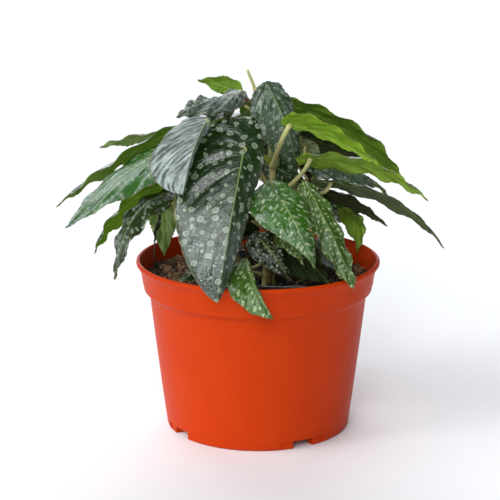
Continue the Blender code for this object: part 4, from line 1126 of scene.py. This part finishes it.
def make_blade_skin(name, upper):
    material, shader = start_material(name, "2B4A1C" if upper else "6E9A2C", 0.3 if upper else 0.5, 1.46)
    tint = add(material, "Attribute", attribute_name="tint").outputs["Color"]
    look = add(material, "Attribute", attribute_name="look").outputs["Vector"]
    looks = add(material, "SeparateXYZ", {0: look})
    flat = add(material, "Attribute", attribute_name="flat").outputs["Vector"]
    fan = add(material, "SeparateXYZ", {0: add(material, "Attribute", attribute_name="fan").outputs["Vector"]})
    edge = add(material, "Math", {0: fan.outputs["Y"]}, operation="ABSOLUTE")

    # Cells of the blade: cloudy green
    cloud = add(material, "TexNoise", {"Vector": flat, "Scale": 1 / 7.0, "Detail": 4.0})
    shade = add(material, "MapRange", {"Value": cloud.outputs["Fac"], "From Min": 0.3, "From Max": 0.7, "To Min": 0.75, "To Max": 1.3})
    green = add(material, "Mix", {0: 1.0, 6: tint, 7: shade.outputs[0]}, data_type="RGBA", blend_type="MULTIPLY")

    # Veins: side veins where the fan value is whole, and the midrib where the blade is folded
    flat_parts = add(material, "SeparateXYZ", {0: flat})
    half_way = add(material, "Math", {0: fan.outputs["X"], 1: 0.5}, operation="ADD")
    part = add(material, "Math", {0: half_way.outputs[0]}, operation="FRACT")
    centred = add(material, "Math", {0: part.outputs[0], 1: -0.5}, operation="ADD")
    off_vein = add(material, "Math", {0: centred.outputs[0]}, operation="ABSOLUTE")
    opening = add(material, "Math", {0: edge.outputs[0], 1: 1.0, 2: 0.12}, operation="MULTIPLY_ADD")
    distance = add(material, "Math", {0: off_vein.outputs[0], 1: opening.outputs[0]}, operation="MULTIPLY")
    side_vein = add(material, "MapRange", {"Value": distance.outputs[0], "From Min": 0.022, "From Max": 0.004})
    fade = add(material, "MapRange", {"Value": edge.outputs[0], "From Min": 0.95, "From Max": 0.5})
    side_line = add(material, "Math", {0: side_vein.outputs[0], 1: fade.outputs[0]}, operation="MULTIPLY")
    off_mid = add(material, "Math", {0: flat_parts.outputs["X"]}, operation="ABSOLUTE")
    mid_width = add(material, "MapRange", {"Value": off_mid.outputs[0], "From Min": 0.6, "From Max": 0.2})
    past_joint = add(material, "MapRange", {"Value": fan.outputs["Z"], "From Min": -0.012, "From Max": 0.0})
    mid_line = add(material, "Math", {0: mid_width.outputs[0], 1: past_joint.outputs[0]}, operation="MULTIPLY")
    lines = add(material, "Math", {0: side_line.outputs[0], 1: mid_line.outputs[0]}, operation="MAXIMUM")

    # Fine pleats that run with the side veins, and a net of small veins between them
    pleat_x = add(material, "Math", {0: fan.outputs["X"], 1: 3.2}, operation="MULTIPLY")
    pleat_y = add(material, "Math", {0: edge.outputs[0], 1: 2.2}, operation="MULTIPLY")
    pleat_place = add(
        material, "CombineXYZ", {0: pleat_x.outputs[0], 1: pleat_y.outputs[0], 2: flat_parts.outputs["Z"]})
    pleat = add(material, "TexNoise", {"Vector": pleat_place.outputs[0], "Scale": 1.0, "Detail": 4.0, "Roughness": 0.55})
    warp = add(material, "TexNoise", {"Vector": flat, "Scale": 1 / 3.0, "Detail": 2.0})
    bent = add(material, "VectorMath", {0: flat, 1: warp.outputs["Color"]}, operation="ADD")
    net = add(
        material, "TexVoronoi", {"Vector": bent.outputs[0], "Scale": 1 / 1.9},
        voronoi_dimensions="2D", feature="DISTANCE_TO_EDGE")
    net_line = add(material, "MapRange", {"Value": net.outputs["Distance"], "From Min": 0.16, "From Max": 0.02})

    if upper:
        spot = add(material, "Attribute", attribute_name="spot").outputs["Vector"]
        wobble = add(material, "VectorMath", {0: warp.outputs["Color"], "Scale": 0.2}, operation="SCALE")
        spot_place = add(material, "VectorMath", {0: spot, 1: wobble.outputs[0]}, operation="ADD")
        big, big_rim = spots(material, spot_place.outputs[0], 1.0, 0.13, 0.30, 0.035)
        small, small_rim = spots(material, spot_place.outputs[0], 2.1, -0.7, 0.27, 0.07)
        any_spot = add(material, "Math", {0: big, 1: small}, operation="MAXIMUM")
        any_rim = add(material, "Math", {0: big_rim, 1: small_rim}, operation="MAXIMUM")
        rim_shade = add(material, "MapRange", {"Value": any_rim.outputs[0], "To Min": 0.66, "To Max": 1.15})
        spot_colour = add(material, "Mix", {0: looks.outputs["Y"], 6: linear("8C9A80"), 7: linear("B4C684")}, data_type="RGBA")
        spot_tone = add(
            material, "Mix", {0: 1.0, 6: spot_colour.outputs[2], 7: rim_shade.outputs[0]},
            data_type="RGBA", blend_type="MULTIPLY")
        spotted_share = add(material, "SeparateXYZ", {0: spot})
        spot_level = add(material, "Math", {0: any_spot.outputs[0], 1: spotted_share.outputs["Z"]}, operation="MULTIPLY")
        side_level = add(material, "Math", {0: side_line.outputs[0], 1: 0.16}, operation="MULTIPLY")
        mid_fade = add(material, "MapRange", {"Value": fan.outputs["Z"], "From Min": 0.35, "From Max": 0.9, "To Min": 0.85, "To Max": 0.2})
        mid_level = add(material, "Math", {0: mid_line.outputs[0], 1: mid_fade.outputs[0]}, operation="MULTIPLY")
        vein_level = add(material, "Math", {0: side_level.outputs[0], 1: mid_level.outputs[0]}, operation="MAXIMUM")
        veined = add(material, "Mix", {0: vein_level.outputs[0], 6: green.outputs[2], 7: linear("8FA860")}, data_type="RGBA")
        spotted = add(material, "Mix", {0: spot_level.outputs[0], 6: veined.outputs[2], 7: spot_tone.outputs[2]}, data_type="RGBA")
        # Painted reflection: a silvery sky sheen mixed into the colour, in streaks that follow the pleats, scaled by
        # each leaf's sheen share
        sheen_streaks = add(material, "MapRange", {"Value": pleat.outputs["Fac"], "From Min": 0.40, "From Max": 0.57, "To Min": 0.05, "To Max": 1.45})
        sheen_patch = add(material, "MapRange", {"Value": cloud.outputs["Fac"], "From Min": 0.35, "From Max": 0.65, "To Min": 0.6, "To Max": 1.2})
        sheen_streak_level = add(material, "Math", {0: sheen_streaks.outputs[0], 1: sheen_patch.outputs[0]}, operation="MULTIPLY")
        painted_sheen_level = add(material, "Math", {0: looks.outputs["X"], 1: sheen_streak_level.outputs[0]}, operation="MULTIPLY", use_clamp=True)
        surface = add(material, "Mix", {0: painted_sheen_level.outputs[0], 6: spotted.outputs[2], 7: linear("A0ACA8")}, data_type="RGBA")
        glow_colour = add(material, "Mix", {0: any_spot.outputs[0], 6: linear("6F9A22"), 7: linear("A4B85C")}, data_type="RGBA")
        patch_noise = add(material, "TexNoise", {"Vector": flat, "Scale": 1 / 20, "Detail": 1.0})
        creased = add(material, "MapRange", {"Value": patch_noise.outputs["Fac"], "From Min": 0.52, "From Max": 0.64, "To Min": 0.25, "To Max": 1.6})
        crease = add(material, "TexNoise", {"Vector": flat, "Scale": 1 / 2.6, "Detail": 3.0, "Distortion": 0.8})
        creases = add(material, "Math", {0: crease.outputs["Fac"], 1: creased.outputs[0]}, operation="MULTIPLY")
        pleats = add(material, "Math", {0: pleat.outputs["Fac"], 1: 1.5, 2: creases.outputs[0]}, operation="MULTIPLY_ADD")
        raised = add(material, "Math", {0: any_spot.outputs[0], 1: 0.1, 2: pleats.outputs[0]}, operation="MULTIPLY_ADD")
        height = add(material, "Math", {0: net_line.outputs[0], 1: -0.08, 2: raised.outputs[0]}, operation="MULTIPLY_ADD")
        bump_size, glow_share = 1.0, 0.16
        shader.inputs["Specular IOR Level"].default_value = 1.0
    else:
        vein_level = add(material, "Math", {0: lines.outputs[0], 1: 0.5}, operation="MULTIPLY")
        veined = add(material, "Mix", {0: vein_level.outputs[0], 6: green.outputs[2], 7: linear("B4C27A")}, data_type="RGBA")
        net_level = add(material, "Math", {0: net_line.outputs[0], 1: 0.25}, operation="MULTIPLY")
        surface = add(material, "Mix", {0: net_level.outputs[0], 6: veined.outputs[2], 7: linear("A9BC6E")}, data_type="RGBA")
        glow_colour = add(material, "Mix", {0: lines.outputs[0], 6: tint, 7: linear("C4CE86")}, data_type="RGBA")
        pleats = add(material, "Math", {0: pleat.outputs["Fac"], 1: 1.5, 2: lines.outputs[0]}, operation="MULTIPLY_ADD")
        height = add(material, "Math", {0: net_line.outputs[0], 1: 0.4, 2: pleats.outputs[0]}, operation="MULTIPLY_ADD")
        bump_size, glow_share = 0.5, 0.6

    rim_line = add(material, "MapRange", {"Value": edge.outputs[0], "From Min": 0.975, "From Max": 0.995, "To Max": 0.7})
    edged = add(material, "Mix", {0: rim_line.outputs[0], 6: surface.outputs[2], 7: linear("8C7A48")}, data_type="RGBA")
    scar = add(material, "Attribute", attribute_name="scar")
    ragged = add(material, "Math", {0: warp.outputs["Fac"], 1: 0.6, 2: scar.outputs["Alpha"]}, operation="MULTIPLY_ADD")
    scar_level = add(material, "MapRange", {"Value": ragged.outputs[0], "From Min": 0.62, "From Max": 0.78})
    scarred = add(
        material, "Mix", {0: scar_level.outputs[0], 6: edged.outputs[2], 7: scar.outputs["Color"]}, data_type="RGBA")
    feed(material, scarred.outputs[2], shader.inputs["Base Color"])
    rough = add(material, "MapRange", {"Value": cloud.outputs["Fac"], "To Min": 0.07 if upper else 0.45, "To Max": 0.17 if upper else 0.62})
    feed(material, rough.outputs[0], shader.inputs["Roughness"])
    bump = add(material, "Bump", {"Height": height.outputs[0], "Strength": 0.6, "Distance": bump_size * MM})
    feed(material, bump.outputs[0], shader.inputs["Normal"])
    # Each leaf's glow level scales the light let through, so it paints some blades lit through and others shaded.
    lit = add(material, "Mix", {0: 1.0, 6: glow_colour.outputs[2], 7: looks.outputs["Z"]}, data_type="RGBA", blend_type="MULTIPLY")
    glow = add(material, "BsdfTranslucent", {"Color": lit.outputs[2], "Normal": bump.outputs[0]})
    both = add(material, "MixShader", {0: glow_share, 1: shader.outputs[0], 2: glow.outputs[0]})
    feed(material, both.outputs[0], material.node_tree.nodes["Material Output"].inputs["Surface"])
    return material


upper_skin = make_blade_skin("waxy upper leaf skin", True)
under_skin = make_blade_skin("matt lower leaf skin", False)
print("materials:", upper_skin.name, "and", under_skin.name)

# %% Build the blades
def make_blade(name, shape, seed):
    """One blade: both faces from the same grid, thin at the edge and thick along its veins below."""
    rows, columns = shape["fine"]
    grid, flat, fan, spot = blade(shape, rows, columns, seed)
    grid, tip = grid[:-1], grid[-1, columns]
    width = 2 * columns + 1
    points = np.vstack([grid.reshape(-1, 3), tip[None]])
    triangles = []
    for i in range(rows - 1):
        for j in range(width - 1):
            a = i * width + j
            b, c, d = a + 1, a + width, a + width + 1
            triangles += [(a, b, d), (a, d, c)] if j < columns else [(a, b, c), (b, d, c)]
    last = (rows - 1) * width
    triangles += [(last + j, last + j + 1, rows * width) for j in range(width - 1)]
    triangles = np.array(triangles)
    corners = points[triangles]
    facing = np.cross(corners[:, 1] - corners[:, 0], corners[:, 2] - corners[:, 0])
    normals = np.zeros_like(points)
    for k in range(3):
        np.add.at(normals, triangles[:, k], facing)
    normals = unit(normals)
    if np.sum(normals[: rows * width] * np.array(shape["face"])) < 0:
        normals = -normals
    edge = np.append(np.abs(fan[:-1, :, 1]).ravel(), 1)
    along = np.append(fan[:-1, :, 2].ravel(), 1)
    off_mid = np.append(np.abs(flat[:-1, :, 0]).ravel(), 0)
    vein = np.append(fan[:-1, :, 0].ravel(), 0)
    thin = 0.42 * (1 - 0.45 * ramp(edge, 0.8, 1))
    rib = 0.8 * np.exp(-(off_mid / 0.9) ** 2) * np.clip(1 - along, 0, 1) * (along > -0.02)
    side_rib = 0.25 * (1 - np.minimum(1, np.abs(vein - np.round(vein)) / 0.13)) * ramp(edge, 0.02, 0.2) * (1 - edge)
    top = points + normals * (thin / 2)[:, None]
    low = points - normals * (thin / 2 + rib + side_rib)[:, None]
    total = len(points)
    border = list(range(width)) + [i * width + width - 1 for i in range(1, rows)] + [total - 1]
    border += [i * width for i in range(rows - 1, 0, -1)]
    faces = [tuple(t) for t in triangles.tolist()]
    faces += [(c + total, b + total, a + total) for a, b, c in triangles.tolist()]
    faces += [(b, a, a + total, b + total) for a, b in zip(border, border[1:] + border[:1])]
    slots = [0] * len(triangles) + [1] * (len(faces) - len(triangles))
    outward = np.sum(facing * normals[triangles[:, 0]]) > 0
    if not outward:
        faces = [face[::-1] for face in faces]
    piece = new_piece(
        name.replace("leaf_", "") + "_blade", np.vstack([top, low]), faces, [name],
        [upper_skin, under_skin], slots)
    flat_all = np.vstack([flat[:-1].reshape(-1, 3), [[0, flat[-1, 0, 1], flat[0, 0, 2]]]])
    fan_all = np.vstack([fan[:-1].reshape(-1, 3), [[fan[-1, 0, 0], 0, 1]]])
    spot_all = np.vstack([spot[:-1].reshape(-1, 3), spot[-1, :1]])
    set_values(piece, "flat", "FLOAT_VECTOR", np.vstack([flat_all, flat_all]))
    set_values(piece, "spot", "FLOAT_VECTOR", np.vstack([spot_all, spot_all]))
    set_values(piece, "fan", "FLOAT_VECTOR", np.vstack([fan_all, fan_all]))
    tints = [linear(shape["upper"])] * total + [linear(shape["under"])] * total
    set_values(piece, "tint", "FLOAT_COLOR", tints)
    # Painted reflection: each leaf's share of painted sky sheen grows from the joint towards the tip
    silver = shape["silver"][0] + (shape["silver"][1] - shape["silver"][0]) * ramp(along, 0.1, 0.8)
    look = np.column_stack([silver, np.full(total, shape["lime"]), np.full(total, shape["glow"])])
    set_values(piece, "look", "FLOAT_VECTOR", np.vstack([look, look]))
    scar = np.zeros((total, 4))
    for side_at, along_at, radius, colour in shape["scars"]:
        near = 1 - ramp(np.hypot(flat_all[:, 0] - side_at, flat_all[:, 1] - along_at), 0.4 * radius, radius)
        scar = np.where(near[:, None] > scar[:, 3:], np.column_stack([np.tile(linear(colour)[:3], (total, 1)), near]), scar)
    set_values(piece, "scar", "FLOAT_COLOR", np.vstack([scar, scar]))
    return piece


triangle_total = 0
for number, (leaf_name, leaf_shape) in enumerate(LEAVES.items()):
    leaf_piece = make_blade(leaf_name, leaf_shape, SEED + number)
    triangle_total += count(leaf_piece)
print("blades:", len(LEAVES), "with", triangle_total, "triangles")

# %% Canes with stalks
def stalk_route(shape):
    """Route of a leaf stalk from the cane's axis to its blade's joint."""
    joint, _, middle, _ = frame_of(shape)
    forward = unit(middle - joint)
    face = np.array(shape["face"], float)
    up = unit(face - forward * (face @ forward))
    end = joint - up * CANE_TOP_GAP
    start = np.array(shape["start"], float)
    reach = float(np.linalg.norm(end - start))
    leave = unit(np.array(shape["leave"], float))
    arrive = unit(up * 0.95 + forward * 0.25)
    if shape["arrive"]:
        arrive = unit(np.array(shape["arrive"], float))
    bend = min(14, reach * 0.45)
    return bezier(start, start + leave * reach * 0.3, end - arrive * bend, end, 18)


def stem_tube(route, radii, sides, age, rings):
    """Points, faces and stem values (age and ring) of one tube."""
    points, faces = sweep(route, radii, sides)
    age_values = [a for a in age for _ in range(sides)] + [age[0], age[-1]]
    ring_values = [r for r in rings for _ in range(sides)] + [rings[0], rings[-1]]
    return points, faces, list(zip(age_values, ring_values, [0] * len(points)))


def make_stem(name, cane, shapes):
    """A cane and its stalks as one mesh."""
    route = smooth_route(cane["route"], 1.6)
    lengths = np.concatenate([[0], np.cumsum(np.linalg.norm(np.diff(route, axis=0), axis=1))])
    share = lengths / lengths[-1]
    thick, thin = cane["radii"]
    node_heights = [shape["start"][2] for shape in shapes]
    ring = np.zeros(len(route))
    for height in node_heights:
        ring = np.maximum(ring, np.exp(-((route[:, 2] - height + 1) / 1.5) ** 2))
    radii = (thick + (thin - thick) * share) * (0.94 + 0.16 * ring)
    tubes = [stem_tube(route, radii, 14, list(np.clip(0.9 - 1.3 * share, 0, 1)), list(ring * 0.6))]
    for shape in shapes:
        path = stalk_route(shape)
        t = np.linspace(0, 1, len(path))
        sizes = shape["stalk"] * (1.0 + 0.45 * (1 - ramp(t, 0, 0.22)) + 0.25 * ramp(t, 0.9, 1))
        tubes.append(stem_tube(path, sizes, 10, list(0.35 * (1 - t)), list(0.5 * (1 - ramp(t, 0, 0.1)))))
    points, faces, values = [], [], []
    for tube_points, tube_faces, tube_values in tubes:
        start = len(points)
        points += [tuple(p) for p in tube_points]
        faces += [tuple(start + i for i in face) for face in tube_faces]
        values += tube_values
    piece = new_piece(name.replace("cane_", "").replace("shoot_", "low_") + "_stem", points, faces, [name], [cane_skin])
    set_values(piece, "stem", "FLOAT_VECTOR", values)
    return piece


for cane_name, cane in CANES.items():
    stem = make_stem(cane_name, cane, [s for s in LEAVES.values() if s["cane"] == cane_name])
    print(stem.name, count(stem), "triangles")

# %% [markdown]
# ## Stipules, dry remains and twigs
#
# At each joint a cane keeps two stipules: thin pointed sheaths that wrapped the young leaf, green at first and
# papery tan later. At the top of the right cane they have dried to dark crumpled scraps. One old leaf has
# dried down to a thread whose end lies on the coir. In the soil stand a cut stub with hair-like roots, a
# leafless stalk and a few fallen twigs. Each sheath is a closed thin sheet, cupped round its cane.

# %% Thin sheets
def sheet(grid, thick):
    """Points and faces of a closed thin sheet round a grid of points."""
    rows, columns = grid.shape[:2]
    normals = unit(np.cross(np.gradient(grid, axis=0), np.gradient(grid, axis=1)))
    points = np.vstack([(grid + normals * thick / 2).reshape(-1, 3), (grid - normals * thick / 2).reshape(-1, 3)])
    total = rows * columns
    faces = []
    for i in range(rows - 1):
        for j in range(columns - 1):
            a, b = i * columns + j, i * columns + j + 1
            faces += [(a, a + columns, b + columns, b), (a + total, b + total, b + columns + total, a + columns + total)]
    border = list(range(columns)) + [i * columns + columns - 1 for i in range(1, rows)]
    border += [total - 1 - j for j in range(1, columns)] + [i * columns for i in range(rows - 2, 0, -1)]
    faces += [(a, b, b + total, a + total) for a, b in zip(border, border[1:] + border[:1])]
    return points, faces


def sheath(foot, tip, away, width, crumple, seed):
    """A pointed sheath from its foot to its tip, cupped away from a direction."""
    foot, tip = np.array(foot, float), np.array(tip, float)
    forward = unit(tip - foot)
    length = float(np.linalg.norm(tip - foot))
    out = unit(np.array(away, float) - forward * (forward @ np.array(away, float)))
    side = np.cross(forward, out)
    t = np.linspace(0, 1, 15)[:, None]
    x = np.linspace(-1, 1, 9)[None, :]
    half = width / 2 * np.maximum((1 - t) ** 0.75 * (0.6 + 1.2 * t), 0.04)
    draw = random.Random(seed)
    a, b = draw.uniform(0, 6), draw.uniform(0, 6)
    ripple = crumple * (np.sin(9 * t + 4 * x + a) + 0.6 * np.sin(17 * t - 7 * x + b)) * np.minimum(1, t * 4)
    cup = -0.55 * half * x ** 2 + 0.14 * length * t ** 2 + ripple
    grid = foot + forward * (length * t * (1 + 0 * x))[..., None] + side * (half * x)[..., None]
    return sheet(grid + out * cup[..., None], 0.3)


def join_tinted(name, parts, material):
    """One piece from many, with a colour stored for each part."""
    points, faces, tints = [], [], []
    for part_points, part_faces, tint in parts:
        start = len(points)
        points += [tuple(p) for p in part_points]
        faces += [tuple(start + i for i in face) for face in part_faces]
        tints += [linear(tint)] * len(part_points)
    piece = new_piece(name, points, faces, [], [material])
    set_values(piece, "tint", "FLOAT_COLOR", tints)
    return piece


# %% Stipules
STIPULE_TINTS = {
    "cane_main": ("B4C44E", "BAC890", "B8AC7A", "8E9A50"), "cane_right": ("B4B67E", "3A2418"),
    "cane_left": ("A89468", "A8A070"), "cane_back": ("96A055", "A89A66"), "shoot_front": ("A2B060",)}
sheaths = []
for cane_name, cane in CANES.items():
    for number, (foot, tip) in enumerate(cane["stipules"]):
        reach = float(np.linalg.norm(np.array(tip) - np.array(foot)))
        heading = (tip[0] - foot[0], min(tip[1] - foot[1], -4), 0.5)
        tint = STIPULE_TINTS[cane_name][number]
        width = 0.62 if cane_name == "cane_main" else 0.44
        sheaths.append((*sheath(foot, tip, heading, width * reach, 0.15, number), tint))
for number, (foot, tip) in enumerate([
        ((33, 3, 166), (26, -1, 177)), ((33, 3, 165), (29, -3, 156)), ((32, 2, 165), (37, -2, 173)),
        ((33, 3, 163), (33, -4, 152))]):
    sheaths.append((*sheath(foot, tip, (-0.3, -1, 0.2), 5, 0.9, 20 + number), ("2E1C12", "4A2C1A")[number % 2]))
stipules = join_tinted("stipules", sheaths, papery)
print("stipules:", count(stipules), "triangles")

# %% Twigs, roots and the dried leaf's thread
TWIGS = [
    ([(-66, -30, 131), (-65.9, -24, 126), (-67, -18, 118.4), (-66.2, -10, 109.6), (-63.3, -4, 103.9),
      (-61, 0, 99.5)], 0.5, 0.35, "4A4C34"),
    ([(-4, 1, 92), (-5, 1.5, 106), (-7, 2, 121.5)], 2.5, 2.2, "5A3E26"),
    ([(-19, 6.5, 121), (-11, -12, 128), (-1, -16, 130.5), (9, -18, 133.6)], 1.3, 1.1, "5C5232"),
    ([(-4, -22, 97.5), (3, -24, 98.2), (10, -27, 97)], 1.1, 0.9, "8A7448"),
    ([(-21, -34, 97), (-10, -30, 98.5), (-2, -37, 96.5)], 0.7, 0.5, "6A5638"),
    ([(20, -36, 97), (30, -33, 98.6), (40, -30, 97)], 0.8, 0.5, "7A6644"),
    ([(12, -18, 93), (10, -17, 101), (12, -15, 111)], 1.0, 0.8, "6E7036")]
twig_parts = []
for route, thick_end, thin_end, tint in TWIGS:
    path = smooth_route(route, 1.5)
    twig_parts.append((*sweep(path, np.linspace(thick_end, thin_end, len(path)), 8), tint))
root_draw = random.Random(SEED)
for _ in range(14):
    x, y, z = root_draw.uniform(-5, 2), root_draw.uniform(-3, 0), root_draw.uniform(108, 122)
    path = smooth_route([(x + 3, y + 1.5, z), (x + root_draw.gauss(0, 1.2), y - 1, z - 8), (x - 2, y - 2, 95)], 1.5)
    twig_parts.append((*sweep(path, np.linspace(0.3, 0.15, len(path)), 4), "8A8072"))
twigs = join_tinted("twigs", twig_parts, papery)
print("twigs:", count(twigs), "triangles")

# %% Finish
bpy.context.view_layer.update()
